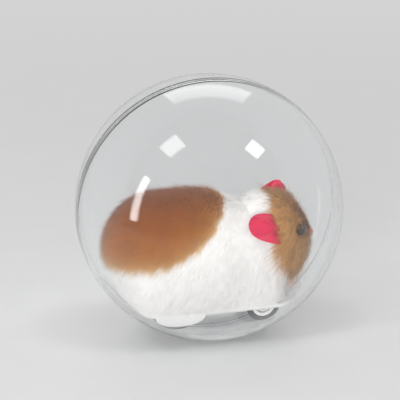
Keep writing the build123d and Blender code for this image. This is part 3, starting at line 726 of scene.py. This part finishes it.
class StageSettings(bpy.types.PropertyGroup):
    """Floor, lamps and camera."""

    floor: FloatVectorProperty(
        name="Floor", description="Colour of the floor", default=(0.93, 0.93, 0.935), subtype="COLOR"
    )
    backdrop: FloatProperty(name="Backdrop", description="Brightness behind the ball", default=0.66)
    radius: FloatProperty(
        name="Floor radius", description="Reach of the floor", default=3.0, unit="LENGTH"
    )
    key: FloatProperty(name="Key", description="Power of the key lamp", default=0.95, unit="POWER")
    fill: FloatProperty(name="Fill", description="Power of the fill lamps", default=1.0, unit="POWER")
    front: FloatProperty(name="Front", description="Power of the front lamp", default=9.5, unit="POWER")
    strip: FloatProperty(name="Strip", description="Power of the strip lamp", default=1.1, unit="POWER")
    sky: FloatProperty(name="Sky", description="Strength of the even light", default=0.41)
    azimuth: FloatProperty(
        name="Azimuth", description="Camera round the ball", default=math.radians(-12), subtype="ANGLE"
    )
    elevation: FloatProperty(
        name="Elevation", description="Camera above the horizon", default=math.radians(20), subtype="ANGLE"
    )
    distance: FloatProperty(
        name="Distance", description="Camera from the ball", default=0.87, unit="LENGTH"
    )
    frame_width: FloatProperty(
        name="Frame width", description="Width of the view at the ball", default=0.2092, unit="LENGTH"
    )
    aside: FloatProperty(
        name="Aside", description="Ball to the right of the middle", default=4.7 * MM, unit="LENGTH"
    )
    below: FloatProperty(
        name="Below", description="Ball under the middle", default=3.7 * MM, unit="LENGTH"
    )


def turned(profile, first, last):
    """A profile of (radius, y) rows turned about Y: ring i is (r cos f, y, r sin f) for f right
    round. Returns the rings, and all their points followed by the poles, which lie on Y at first
    and last."""
    turn = np.linspace(0, 2 * math.pi, 160, endpoint=False)
    radius, y = profile[:, :1], profile[:, 1:]
    rings = np.stack([radius * np.cos(turn), y + 0 * turn, radius * np.sin(turn)], -1)
    return rings, np.concatenate([rings.reshape(-1, 3), [(0, first, 0), (0, last, 0)]])


def arc(radius, start, end, count):
    """Points (r cos a, r sin a) of a circle about the origin between two angles in degrees."""
    angle = np.radians(np.linspace(start, end, count))
    return np.stack([radius * np.cos(angle), radius * np.sin(angle)], -1)


def rounded_edge(radius, size):
    """A quarter circle that turns an outside edge: from (R, size) to (R - size, 0)."""
    turn = np.radians(np.linspace(0, 90, 6))
    return np.stack([radius - size + size * np.cos(turn), size - size * np.sin(turn)], -1)


class HAMSTERBALL_OT_clear_halves(bpy.types.Operator):
    """Turns the two clear half shells with their shared lip and a fine rounded seam"""

    bl_idname = "hamster_ball.clear_halves"
    bl_label = "Clear halves"

    def execute(self, context):
        s = context.scene.hamster_ball_shell
        outer, inner = BALL_RADIUS, BALL_RADIUS - s.wall
        lip = inner + s.lip
        material = clear_plastic("clear_plastic", s.tint, s.index, s.gloss)
        seam_angle = math.degrees(math.asin(s.edge / outer))
        dome = arc(outer, LAST_RING, seam_angle, ARC_POINTS)
        edge = rounded_edge(outer, s.edge)
        step = np.array([(lip, 0), (lip, -LIP_LENGTH), (inner, -LIP_LENGTH)])
        left = np.concatenate([dome, edge, step, arc(inner, 0, LAST_RING, ARC_POINTS)])
        shell = skin("clear_half_left", *turned(left, outer, inner))
        dress(shell, "ball", material, "clear_shell", "ball_half_left")

        depth = LIP_LENGTH + s.gap
        shoulder = math.degrees(math.asin(depth / inner))
        rebate = np.array([(lip + s.gap, 0), (lip + s.gap, depth)])
        inside = arc(inner, shoulder, LAST_RING, ARC_POINTS)
        right = np.concatenate([dome, edge, rebate, inside]) * (1, -1)
        # The right half's rim stays a hair away from the left half's.
        right[:, 1] = np.minimum(right[:, 1], -0.3 * s.gap)
        cap = skin("clear_half_right", *turned(right, -outer, -inner))
        dress(cap, "ball_cap", material, "clear_shell", "ball_half_right")
        for half in (shell, cap):
            half.data.set_sharp_from_angle(angle=math.radians(35))
        return {"FINISHED"}


def body_surface(inset):
    """The stuffed body in metres: an outer grid and the hollow under it. Along X the five station
    values follow a smooth curve. Across, the outer side rises from the hem as y = r - (r - h) b^2,
    z = m - (m - f) b with b from 1 to 0, then turns over the top as a half circle
    (r cos a, m + r sin a), and comes down the other side the same. The hollow is a squared arch
    (c |cos t|^0.35, f + k |sin t|^0.35) whose height k falls to nothing at its ends. The inset
    makes the section smaller by that many millimetres."""
    x, radius, middle, foot, half = through(BODY_STATIONS, 170).T[:, :, None]
    keep = np.maximum(radius - inset, 0.3 * radius)
    half = half - (radius - keep)
    radius = keep
    b = np.linspace(1, 0, 22, endpoint=False)
    a = np.linspace(0, math.pi, 76)
    side_y = radius - (radius - half) * b**2
    side_z = middle - (middle - foot) * b
    top_y, top_z = radius * np.cos(a), middle + radius * np.sin(a)
    y = np.concatenate([-side_y, -top_y, side_y[:, ::-1]], axis=1)
    z = np.concatenate([side_z, top_z, side_z[:, ::-1]], axis=1)
    outer = np.stack([x + 0 * y, y, z + HEM_Z / MM], -1) * MM

    t = np.linspace(0, math.pi, 42)
    reach = np.minimum(HOLLOW_HALF_WIDTH, np.maximum(half - 1.4, 0.6 * half))
    places, heights = np.array(HOLLOW_STATIONS).T
    rise = np.interp(x, places, heights)
    arch_y = reach * np.sign(np.cos(t)) * np.abs(np.cos(t)) ** 0.35
    arch_z = foot + rise * np.abs(np.sin(t)) ** 0.35
    hollow = np.stack([x + 0 * arch_y, arch_y, arch_z + HEM_Z / MM], -1) * MM
    return outer, hollow


def head_surface(inset):
    """The stuffed head in metres: circles across X, (r cos a, m + r sin a), whose radius r, less
    the inset, and middle m follow a smooth curve through the stations."""
    x, radius, middle = through(HEAD_STATIONS, 110).T[:, :, None]
    radius = np.maximum(radius - inset, 0.3 * radius)
    a = np.linspace(0, 2 * math.pi, 120, endpoint=False)
    y, z = -radius * np.cos(a), middle + radius * np.sin(a)
    return np.stack([x + 0 * y, y, z + HEM_Z / MM], -1) * MM


def above_hem(points):
    """Heights over the hem in millimetres."""
    return (points[..., 2] - HEM_Z) / MM


def in_head(points, margin):
    """True where points lie in the head's circles, made smaller by the margin."""
    x, radius, middle = np.array(HEAD_STATIONS).T
    place = points[..., 0] / MM
    r = np.interp(place, x, radius, left=0, right=0) - margin
    return np.hypot(points[..., 1] / MM, above_hem(points) - np.interp(place, x, middle)) < r


def in_body(points, margin):
    """True where points lie in the body's sections, made smaller by the margin."""
    x, radius, middle, _, _ = np.array(BODY_STATIONS).T
    place = points[..., 0] / MM
    r = np.interp(place, x, radius, left=0, right=0) - margin
    over = np.maximum(above_hem(points) - np.interp(place, x, middle), 0)
    return np.hypot(points[..., 1] / MM, over) < r


def soft_step(values, width):
    """0 below -width, 1 above +width, and a smooth rise between."""
    f = np.clip(values / (2 * width) + 0.5, 0, 1)
    return f * f * (3 - 2 * f)


def body_colours(points, s, seed):
    """White below the saddle's edge, and above it gold that turns to tan and then to a deep brown:
    the share of gold falls as e^(-h / 2.8) and that of tan as e^(-(h / 15)^2) with the height h
    over the edge in millimetres. This darkening with height is partly the plush's own colour and
    partly painted shade over the top of the back. Ripples make the edge ragged and vary the tufts."""
    edge_x, edge_height = np.array(SADDLE_EDGE).T
    edge = np.interp(points[..., 0] / MM, edge_x, edge_height)
    ragged = 1.3 * ripple(points, 5 * MM, seed) + 0.7 * ripple(points, 2 * MM, seed + 1)
    share = soft_step(above_hem(points) - edge + ragged, 1.6)[..., None]
    deep = 1 + 0.07 * ripple(points, 16 * MM, seed + 2) + 0.10 * ripple(points, 3 * MM, seed + 3)
    # Partly painted shade over the top of the back: the colour darkens with height over the saddle's edge.
    height = np.maximum(above_hem(points) - edge, 0)[..., None]
    tan = np.exp(-((height / 15) ** 2))
    gold = np.exp(-height / 2.8)
    saddle = (np.array(s.saddle) * (1 - tan) + np.array(s.tan) * tan) * deep[..., None]
    saddle = saddle * (1 - gold) + np.array(s.gold) * gold
    white = np.array(s.white) * (1 + 0.015 * ripple(points, 9 * MM, seed + 4))[..., None]
    return np.clip(white * (1 - share) + saddle * share, 0, 1)


def face_share(points):
    """How far a point of the head lies in the long face pile, from 0 to 1."""
    height, edge_x = np.array(FACE_EDGE).T
    edge = np.interp(above_hem(points), height, edge_x)
    return soft_step(points[..., 0] / MM - edge + 1.2 * ripple(points, 4 * MM, 31), 1.2)


def head_colours(points, s, seed):
    """White cheeks, the long pile's mixed tans over the face and a cream muzzle, whose share falls
    as e^(-(d / 12)^4) with the distance d from its middle in millimetres."""
    share = face_share(points)[..., None]
    streak = ripple(points, 3.0 * MM, seed)[..., None]
    face = np.array(s.face) * (1 + 0.45 * streak)
    away = points / MM - (MUZZLE[0], 0.0, HEM_Z / MM + MUZZLE[1])
    pale = 0.85 * np.exp(-((np.linalg.norm(away, axis=-1) / 12.0) ** 4))[..., None]
    face = face * (1 - pale) + np.array(s.muzzle) * pale
    white = np.array(s.white) * (1 + 0.04 * ripple(points, 9 * MM, seed + 1))[..., None]
    return np.clip(white * (1 - share) + face * share, 0, 1)


def lay_of(normals, way):
    """The combed direction on the skin: the given way with its part along the normal taken out."""
    way = np.broadcast_to(way, normals.shape)
    return unit(way - normals * np.einsum("ij,ij->i", way, normals)[:, None])


def strand_count(count):
    return count


class HAMSTERBALL_OT_body(bpy.types.Operator):
    """Builds the stuffed body with its saddle, flank and hem pile"""

    bl_idname = "hamster_ball.body"
    bl_label = "Stuffed body"

    def execute(self, context):
        s = context.scene.hamster_ball_plush
        outer, hollow = body_surface(s.inset / MM)
        rings = np.concatenate([outer, hollow], axis=1)
        body = skin("plush_body_form", rings)
        # The backing takes the pile's colours darkened as painted shade under the pile.
        store_colour(body, body_colours(with_ends(rings), s, BODY_PATTERN) * BODY_BACKING_PAINTED_SHADE)
        dress(body, "hamster", fur("plush_backing", s.sheen), "plush_body_fur", "plush_body")

        coat = fur("plush_pile", s.sheen)
        normals = grid_normals(outer, closed=False)
        roots, ups = scatter(outer, normals, strand_count(s.body_strands), 5, closed=False)
        free = ~in_head(roots, HIDDEN_IN_HEAD)
        roots, ups = roots[free], ups[free]
        comb = lay_of(ups, BODY_COMB)
        length = s.short_pile * (1 + 0.10 * ripple(roots, 7 * MM, 21))
        length = np.minimum(length, (above_hem(roots) + 0.8) * MM)
        colours = body_colours(roots + 0.7 * comb * length[:, None], s, BODY_PATTERN)
        saddle = above_hem(roots) > np.interp(roots[:, 0] / MM, *np.array(SADDLE_EDGE).T)
        rear = roots[:, 0] < PILE_SPLIT_X * MM
        upright = saddle & (np.random.default_rng(17).random(len(roots)) < UPRIGHT_SHARE)
        lift = np.where(saddle, SADDLE_LIFT, FLANK_LIFT)
        lift = np.where(upright, UPRIGHT_LIFT, lift)[:, None, None]
        groups = {
            "pile_saddle_rear": saddle & rear,
            "pile_saddle_front": saddle & ~rear,
            "pile_flank_rear": ~saddle & rear,
            "pile_flank_front": ~saddle & ~rear,
        }
        for seed, (name, chosen) in enumerate(groups.items(), start=40):
            look = SADDLE_LOOK if "saddle" in name else FLANK_LOOK
            strands = (part[chosen] for part in (roots, ups, comb, length, colours, lift))
            tuft = pile(name, *strands, s.strand, seed, **look)
            dress(tuft, "hamster", coat, "plush_body_fur")

        # The hem: roots on the lowest four lines of the grid, with strands that hang past its edge.
        rng = np.random.default_rng(8)
        count = strand_count(s.hem_strands)
        row = rng.integers(0, len(outer), count)
        side = rng.integers(0, 2, count)
        rise = rng.integers(0, 4, count)
        column = np.where(side == 0, rise, outer.shape[1] - 1 - rise)
        low = above_hem(outer[row, column]) < 4.0
        row, column = row[low], column[low]
        roots = outer[row, column] + rng.normal(scale=0.35 * MM, size=(len(row), 3)) * (1, 0, 0)
        ups = normals[row, column]
        lean = 0.3 * ripple(roots, 3 * MM, 60)[:, None] * np.array((1.0, 0.0, 0.0))
        down = unit(HEM_COMB + 0.1 * ups + lean)
        drop = (above_hem(roots) + 0.7 + 0.7 * ripple(roots, 2.4 * MM, 61)) * MM
        white = body_colours(roots, s, BODY_PATTERN) * (1 + 0.10 * ripple(roots, 2.4 * MM, 61))[:, None]
        hem = pile("pile_hem", roots, ups, down, drop, white, HEM_LIFT, 1.25 * s.strand, 77, **HEM_LOOK)
        dress(hem, "hamster", coat, "plush_body_fur")
        return {"FINISHED"}


def passes(roots, ways, spot, reach):
    """True for strands that come nearer to a spot than the reach: the point of the line r + t w, t
    from 0 to 1, that is nearest to the spot has t = (spot - r) . w / |w|^2."""
    away = spot - roots
    squares = np.maximum(np.einsum("ij,ij->i", ways, ways), 1e-12)
    t = np.clip(np.einsum("ij,ij->i", away, ways) / squares, 0, 1)
    return np.linalg.norm(away - t[:, None] * ways, axis=1) < reach


def ear_frame(ear):
    """An ear's middle in metres and its three unit axes: root to tip, across, and outwards."""
    middle, long_way, outward = (np.array(part, float) for part in ear)
    outward = unit(outward)
    long_way = unit(long_way - outward * (long_way @ outward))
    return middle * MM + (0, 0, HEM_Z), long_way, np.cross(outward, long_way), outward


def under_ear(points, ear):
    """True for points that an ear covers: seen along its outward way, within an oval of the half
    sizes 10.5 and 8.5 mm, and not more than 9 mm before or behind it."""
    middle, long_way, across, outward = ear_frame(ear)
    away = (points - middle) / MM
    u, v, depth = away @ long_way, away @ across, away @ outward
    return ((u / 10.5) ** 2 + (v / 8.5) ** 2 < 1) & (np.abs(depth) < 9)


class HAMSTERBALL_OT_head(bpy.types.Operator):
    """Builds the stuffed head with short cheek pile and the long shaggy face pile"""

    bl_idname = "hamster_ball.head"
    bl_label = "Stuffed head"

    def execute(self, context):
        s = context.scene.hamster_ball_plush
        grid = head_surface(s.head_inset / MM)
        head = skin("plush_head_form", grid)
        # The backing takes the pile's colours darkened as painted shade under the pile.
        store_colour(head, head_colours(with_ends(grid), s, HEAD_PATTERN) * HEAD_BACKING_PAINTED_SHADE)
        dress(head, "hamster", fur("face_backing", s.sheen), "plush_face_fur", "plush_head")

        coat = fur("face_pile", s.sheen)
        normals = grid_normals(grid, closed=True)
        roots, ups = scatter(grid, normals, strand_count(s.head_strands), 6, closed=True)
        beads = ((EYE_PLACES[0], EYE_ROOM), (EYE_PLACES[1], EYE_ROOM), (NOSE_PLACE, NOSE_ROOM))
        free = ~in_body(roots, HIDDEN_IN_BODY) & (above_hem(roots) > LOWEST_HEAD_ROOT)
        for spot, (bare, _) in beads:
            free &= np.linalg.norm(roots - spot, axis=1) >= bare
        roots, ups = roots[free], ups[free]
        colours = head_colours(roots, s, HEAD_PATTERN)
        short = face_share(roots) < 0.5
        comb = lay_of(ups, CHEEK_COMB)
        length = s.short_pile * (1 + 0.18 * ripple(roots, 7 * MM, 22))
        strands = (part[short] for part in (roots, ups, comb, length, colours))
        cheeks = pile("pile_cheeks", *strands, FLANK_LIFT, s.strand, 91, **FLANK_LOOK)
        dress(cheeks, "hamster", coat, "plush_body_fur")

        # The face: combed away from the parting in locks, shorter towards the nose and the crown,
        # and cropped under the ears and round the eyes and the nose.
        roots, ups, colours = roots[~short], ups[~short], colours[~short]
        spread = roots - np.array((PARTING[0] * MM, 0.0, HEM_Z + PARTING[1] * MM))
        away = unit(spread * (0.55, 1.0, 1.0)) * 0.75 + FACE_COMB
        locks = np.stack([ripple(roots, 6 * MM, 100 + k) for k in range(3)], -1)
        comb = lay_of(ups, unit(away + 0.45 * locks))
        front = soft_step(roots[:, 0] / MM - SHORT_PAST_X, 5.0)
        crown = soft_step(above_hem(roots) - SHORT_OVER_HEIGHT, 6.0)
        length = s.long_pile * (1 - 0.62 * front) * (1 - 0.45 * crown)
        length = length * (1 + 0.25 * ripple(roots, 5 * MM, 23))
        covered = under_ear(roots, EAR_LEFT) | under_ear(roots, EAR_RIGHT)
        for spot, (_, reach) in beads:
            covered |= passes(roots, comb * length[:, None], spot, reach)
        length = np.where(covered, 0.3 * length, length)
        width = 1.15 * s.strand
        shag = pile("pile_face", roots, ups, comb, length, colours, FACE_LIFT, width, 92, **FACE_LOOK)
        dress(shag, "hamster", coat, "plush_face_fur")
        return {"FINISHED"}


def ear_form(ear, s, cup, dip):
    """A thin satin ear as closed rings from root to tip. With v from 0 at the root to 1 at the tip,
    the half width is W (1 - v^4)^0.5, pinched at the root, times 1.08 below the middle line and 0.9
    above it. A ring is the flat oval (W w, T sin a) with w = cos a, lifted along the outward way by
    the cup c w^2 + 0.8 c v^2, by a fold that runs over w = 0.05 - v as a rounded ridge, and by a
    crease along w = 0.1 + v that dies out towards the tip. Near the root it dips by
    d (1 - v / 0.4)^2 to where it is sewn in, and the root's edge is slanted."""
    middle, long_way, across, outward = ear_frame(ear)
    v = np.linspace(0.0, 1.0, 64)[:, None]
    a = np.linspace(0, 2 * math.pi, 96, endpoint=False)[None, :]
    w = np.cos(a)
    half = s.ear_width / 2 * (1.001 - v**4) ** 0.5 * np.minimum(1.0, 0.86 + 0.5 * v)
    half = half * np.where(w > 0, 1.08, 0.9)
    thick = s.ear_thickness / 2 * np.minimum(1.0, 5 * (1.02 - v)) ** 0.5
    lift = thick * np.sin(a) + cup * w**2 + 0.8 * cup * v**2
    lift = lift + EAR_FOLD * np.exp(-(((w - 0.05 + v) / 0.17) ** 2)) * (1 - 0.5 * v)
    lift = lift - EAR_CREASE * np.exp(-(((w - 0.1 - v) / 0.16) ** 2)) * (1 - v)
    lift = lift - dip * np.maximum(1 - v / 0.4, 0) ** 2
    along = (v - 0.5) * s.ear_length - EAR_SLANT * w * (1 - v)
    flat = along[..., None] * long_way + (half * w)[..., None] * across
    return middle + (flat + lift[..., None] * outward)


class HAMSTERBALL_OT_ears(bpy.types.Operator):
    """Builds the two satin ears: the left one stands and the right one lies back"""

    bl_idname = "hamster_ball.ears"
    bl_label = "Satin ears"

    def execute(self, context):
        s = context.scene.hamster_ball_trim
        material = satin("ear_satin", s.ear)
        ears = {
            "ear_left": (EAR_LEFT, 1.2 * MM, 3.0 * MM),
            "ear_right": (EAR_RIGHT, 1.0 * MM, 7.0 * MM),
        }
        for node_name, (place, cup, dip) in ears.items():
            grid = ear_form(place, s, cup, dip)
            ear = skin("satin_" + node_name, grid)
            along, round_it = (np.linspace(0, 1, count) for count in grid.shape[:2])
            spots = np.stack(np.meshgrid(along, round_it, indexing="ij"), -1).reshape(-1, 2)
            put_map(ear, "weave", np.concatenate([spots, [(0, 0.5), (1, 0.5)]]))
            dress(ear, "hamster", material, "ear_satin", node_name)
        return {"FINISHED"}


def bead(name, centre, half_sizes, squareness, facing):
    """A moulded bead: the superquadric (a c(u) c(v), b c(u) s(v), d s(u)), with c and s the cosine
    and sine raised to the squareness, its third axis along the facing way."""
    facing = unit(np.array(facing, float))
    first = unit(np.cross((0.0, 0.0, 1.0), facing))
    second = np.cross(facing, first)
    u = np.linspace(-math.pi / 2, math.pi / 2, 34)[1:-1, None]
    v = np.linspace(0, 2 * math.pi, 56, endpoint=False)[None, :]

    def bent(value):
        return np.sign(value) * np.abs(value) ** squareness

    a, b, d = half_sizes
    girth = bent(np.cos(u))
    height = d * bent(np.sin(u)) + 0 * v
    local = np.stack([a * girth * bent(np.cos(v)), b * girth * bent(np.sin(v)), height], -1)
    rings = centre + local @ np.stack([first, second, facing])
    poles = [centre - d * facing, centre + d * facing]
    return skin(name, rings, np.concatenate([rings.reshape(-1, 3), poles]))


class HAMSTERBALL_OT_face(bpy.types.Operator):
    """Builds the bead eyes and the moulded nose"""

    bl_idname = "hamster_ball.face"
    bl_label = "Eyes and nose"

    def execute(self, context):
        s = context.scene.hamster_ball_trim
        black = moulded_plastic("eye_bead", s.eye, 0.10, coat=0.2)
        for side, node_name, centre in zip((1, -1), ("eye_left", "eye_right"), EYE_PLACES):
            eye = bead("bead_" + node_name, centre, EYE_BEAD, 1.0, (0.55, 0.80 * side, 0.35))
            dress(eye, "hamster", black, "eye_black", node_name)
        pink = moulded_plastic("nose_bead", s.nose, 0.34)
        nose = bead("bead_nose", NOSE_PLACE, NOSE_BEAD, 0.85, (1.0, 0.0, 0.15))
        dress(nose, "hamster", pink, "nose_pink", "nose")
        return {"FINISHED"}


def paw_surface(side):
    """A felt paw in metres, to the left or the right by the sign of side: ovals across X,
    (r cos a, m + 0.86 r sin a), through the stations. From x = 39 mm on, three toe folds draw them
    in by the factor 1 - 0.1 k cos^8(3 a - pi / 2), where k rises from 0 to 1 over 5 mm."""
    x, radius, middle = through(PAW_STATIONS, 44).T[:, :, None]
    a = np.linspace(0, 2 * math.pi, 60, endpoint=False)
    toes = 1 - 0.10 * np.clip((x - 39) / 5, 0, 1) * np.cos(3 * a - math.pi / 2) ** 8
    y = radius * np.cos(a) * toes + side * PAW_Y
    z = middle + 0.86 * radius * np.sin(a) * toes + HEM_Z / MM
    return np.stack([x + 0 * y, y, z], -1) * MM


class HAMSTERBALL_OT_paws(bpy.types.Operator):
    """Builds the two felt front paws with their toe folds"""

    bl_idname = "hamster_ball.paws"
    bl_label = "Felt paws"

    def execute(self, context):
        s = context.scene.hamster_ball_trim
        material = felt("paw_felt", s.paw)
        for side, node_name in ((1, "front_paw_left"), (-1, "front_paw_right")):
            paw = skin("felt_" + node_name, paw_surface(side))
            dress(paw, "hamster", material, "paw_felt", node_name)
        return {"FINISHED"}


def lead_curve(name, route, diameter):
    """A round wire on a smooth spline of order 3 with the route's points, in mm, as its controls."""
    curve = bpy.data.curves.new(name, "CURVE")
    curve.dimensions = "3D"
    curve.bevel_depth = diameter / 2
    curve.bevel_resolution = 5
    curve.use_fill_caps = True
    spline = curve.splines.new("NURBS")
    spline.points.add(len(route) - 1)
    places = np.concatenate([np.array(route, float) * MM, np.ones((len(route), 1))], axis=1)
    spline.points.foreach_set("co", places.ravel())
    spline.order_u = 3
    spline.use_endpoint_u = True
    spline.resolution_u = 16
    wire = bpy.data.objects.new(name, curve)
    bpy.context.scene.collection.objects.link(wire)
    return wire


class HAMSTERBALL_OT_leads(bpy.types.Operator):
    """Runs the two motor leads from the motor's terminals to the cells and the switch"""

    bl_idname = "hamster_ball.leads"
    bl_label = "Motor leads"

    def execute(self, context):
        s = context.scene.hamster_ball_chassis
        leads = {
            "motor_lead_red": (RED_ROUTE, s.red, "lead_red"),
            "motor_lead_black": (BLACK_ROUTE, s.black, "lead_black"),
        }
        for node_name, (route, colour, slot) in leads.items():
            wire = lead_curve("wire_" + node_name, route, s.lead)
            dress(wire, "hamster", moulded_plastic(slot + "_sleeve", colour, 0.42), slot, node_name)
        return {"FINISHED"}


class HAMSTERBALL_OT_chassis(bpy.types.Operator):
    """Gives the housing, drive, cells, switch and wheels their finishes"""

    bl_idname = "hamster_ball.chassis"
    bl_label = "Chassis finishes"

    def execute(self, context):
        s = context.scene.hamster_ball_chassis
        white = moulded_plastic("white_plastic", s.white, 0.30)
        housing = moulded_plastic("housing_plastic", s.housing, 0.42)
        nylon = moulded_plastic("gear_nylon", s.nylon, 0.38)
        black = moulded_plastic("switch_plastic", s.black, 0.36)
        wrap = moulded_plastic("cell_wrap", s.wrap, 0.26, coat=0.5)
        rubber = tyre_rubber("tyre_rubber", s.rubber)
        steel = brushed_metal("steel", s.steel, 0.30)
        brass = brushed_metal("contact_brass", s.brass, 0.28)
        finishes = {
            white: ("base_pan", "battery_door", "drive_wheel_left", "drive_wheel_right",
                    "front_wheel_left", "front_wheel_right"),
            housing: ("chassis_cover", "gearbox_frame"),
            nylon: ("compound_gear", "axle_gear"),
            black: ("switch_body", "switch_knob"),
            wrap: ("battery_cell_left", "battery_cell_right"),
            rubber: ("drive_tyre_left", "drive_tyre_right", "front_tyre_left", "front_tyre_right"),
            steel: ("cover_screws", "door_screw", "motor_can", "motor_shaft", "gear_pin", "drive_axle",
                    "front_axle_left", "front_axle_right"),
            brass: ("rear_contacts", "front_contact", "motor_pinion"),
        }
        for material, names in finishes.items():
            for name in names:
                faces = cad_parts[name].data
                faces.materials.clear()
                faces.materials.append(material)
        return {"FINISHED"}


def seen_rays(tree):
    """1 for rays from the camera, off gloss or through clear plastic, and 0 for all others."""
    rays = tree.nodes.new("ShaderNodeLightPath").outputs
    straight = combine(tree, "MAXIMUM", rays["Is Camera Ray"], rays["Is Glossy Ray"])
    return combine(tree, "MAXIMUM", straight, rays["Is Transmission Ray"])


def floor_finish(name, colour, radius, backdrop):
    """A pale floor that takes the object's shadow and fades to the backdrop's brightness far out."""
    material, tree, shader = start_material(name)
    paint(tree, shader, object_noise(tree, 40.0), colour, 0.985, 1.0)
    shader.inputs["Roughness"].default_value = 0.9
    shader.inputs["Specular IOR Level"].default_value = 0.1
    place = tree.nodes.new("ShaderNodeTexCoord")
    reach = tree.nodes.new("ShaderNodeVectorMath")
    reach.operation = "LENGTH"
    tree.links.new(place.outputs["Object"], reach.inputs[0])
    far = node(tree, "ShaderNodeMapRange", From_Min=0.15, From_Max=0.3 * radius)
    far.interpolation_type = "SMOOTHSTEP"
    tree.links.new(reach.outputs["Value"], far.inputs["Value"])
    share = combine(tree, "MULTIPLY", far.outputs["Result"], seen_rays(tree))
    white = node(tree, "ShaderNodeEmission", Strength=backdrop)
    change_over(tree, share, shader.outputs["BSDF"], white.outputs["Emission"])
    return material


def pale_world(sky, backdrop):
    """A world that shows a plain pale backdrop and lights the object with an even sky."""
    world = bpy.data.worlds.new("studio_backdrop")
    world.use_nodes = True
    tree = world.node_tree
    shade = tree.nodes["Background"]
    shade.inputs["Color"].default_value = (1.0, 1.0, 1.0, 1.0)
    tree.links.new(span(tree, seen_rays(tree), sky, backdrop), shade.inputs["Strength"])
    return world


def area_lamp(name, place, aim, size, power, shows=True):
    """A soft rectangular lamp at a place, turned to a point, which the ball mirrors or doesn't."""
    lamp = bpy.data.lights.new(name, "AREA")
    lamp.shape = "RECTANGLE"
    lamp.size, lamp.size_y = size
    lamp.energy = power
    holder = bpy.data.objects.new(name, lamp)
    holder.location = place
    holder.visible_glossy = shows
    holder.visible_transmission = shows
    holder.rotation_euler = (Vector(aim) - Vector(place)).to_track_quat("-Z", "Y").to_euler()
    bpy.context.scene.collection.objects.link(holder)


class HAMSTERBALL_OT_stage(bpy.types.Operator):
    """Sets the pale floor, the soft lamps and the camera"""

    bl_idname = "hamster_ball.stage"
    bl_label = "Stage"

    def execute(self, context):
        s = context.scene.hamster_ball_stage
        turn = np.linspace(0, 2 * math.pi, 96, endpoint=False)
        rim = np.stack([s.radius * np.cos(turn), s.radius * np.sin(turn), 0 * turn + FLOOR_Z], -1)
        floor = put_mesh("studio_floor", rim, [np.arange(len(turn))[None, :]])
        floor.data.materials.append(floor_finish("studio_floor", s.floor, s.radius, s.backdrop))
        context.scene.world = pale_world(s.sky, s.backdrop)
        area_lamp("key_lamp", (-0.53, -0.11, 0.96), (0, 0, 0), (0.28, 0.28), s.key)
        area_lamp("fill_lamp", (0.55, -0.32, 0.89), (0, 0, 0), (0.22, 0.22), s.fill)
        area_lamp("front_lamp", (-0.42, -1.16, 0.24), (0, 0, -0.02), (0.8, 0.5), s.front, shows=False)
        area_lamp("back_lamp", (0.15, 0.75, 0.75), (0, 0, 0), (0.7, 0.4), s.fill)
        area_lamp("strip_lamp", (-0.795, -0.20, 0.24), (0, 0, 0.1), (0.10, 0.5), s.strip)

        a, e = s.azimuth, s.elevation
        right = Vector((math.cos(a), math.sin(a), 0))
        up = Vector((-math.sin(a) * math.sin(e), math.cos(a) * math.sin(e), math.cos(e)))
        back = Vector((math.sin(a) * math.cos(e), -math.cos(a) * math.cos(e), math.sin(e)))
        lens = bpy.data.cameras.new("studio_camera")
        lens.sensor_width = 36.0
        lens.lens = lens.sensor_width * s.distance / s.frame_width
        camera = bpy.data.objects.new("studio_camera", lens)
        camera.location = back * s.distance - right * s.aside + up * s.below
        camera.rotation_euler = back.to_track_quat("Z", "Y").to_euler()
        context.scene.collection.objects.link(camera)
        context.scene.camera = camera
        context.scene.view_settings.view_transform = "Standard"
        return {"FINISHED"}


OPERATORS = (
    HAMSTERBALL_OT_stage,
    HAMSTERBALL_OT_leads,
    HAMSTERBALL_OT_clear_halves,
    HAMSTERBALL_OT_body,
    HAMSTERBALL_OT_head,
    HAMSTERBALL_OT_ears,
    HAMSTERBALL_OT_face,
    HAMSTERBALL_OT_paws,
    HAMSTERBALL_OT_chassis,
)
SETTINGS = {
    "hamster_ball_shell": BallSettings,
    "hamster_ball_plush": PlushSettings,
    "hamster_ball_trim": TrimSettings,
    "hamster_ball_chassis": ChassisSettings,
    "hamster_ball_stage": StageSettings,
}


class VIEW3D_PT_hamster_ball(bpy.types.Panel):
    """Lists the steps that dress the ball"""

    bl_label = "Hamster ball"
    bl_space_type = "VIEW_3D"
    bl_region_type = "UI"
    bl_category = "Hamster ball"

    def draw(self, context):
        for operator in OPERATORS:
            self.layout.operator(operator.bl_idname)


def register():
    """Adds the settings, the operators and the panel."""
    for settings in SETTINGS.values():
        bpy.utils.register_class(settings)
    for place, settings in SETTINGS.items():
        setattr(bpy.types.Scene, place, PointerProperty(type=settings))
    for operator in OPERATORS:
        bpy.utils.register_class(operator)
    bpy.utils.register_class(VIEW3D_PT_hamster_ball)


def unregister():
    """Takes the panel, the operators and the settings away."""
    bpy.utils.unregister_class(VIEW3D_PT_hamster_ball)
    for operator in reversed(OPERATORS):
        bpy.utils.unregister_class(operator)
    for place, settings in SETTINGS.items():
        delattr(bpy.types.Scene, place)
        bpy.utils.unregister_class(settings)


def main():
    """Dresses the ball step by step."""
    register()
    bpy.ops.hamster_ball.stage()
    bpy.ops.hamster_ball.leads()
    bpy.ops.hamster_ball.clear_halves()
    bpy.ops.hamster_ball.body()
    bpy.ops.hamster_ball.head()
    bpy.ops.hamster_ball.ears()
    bpy.ops.hamster_ball.face()
    bpy.ops.hamster_ball.paws()
    bpy.ops.hamster_ball.chassis()


if __name__ == "__main__":
    main()
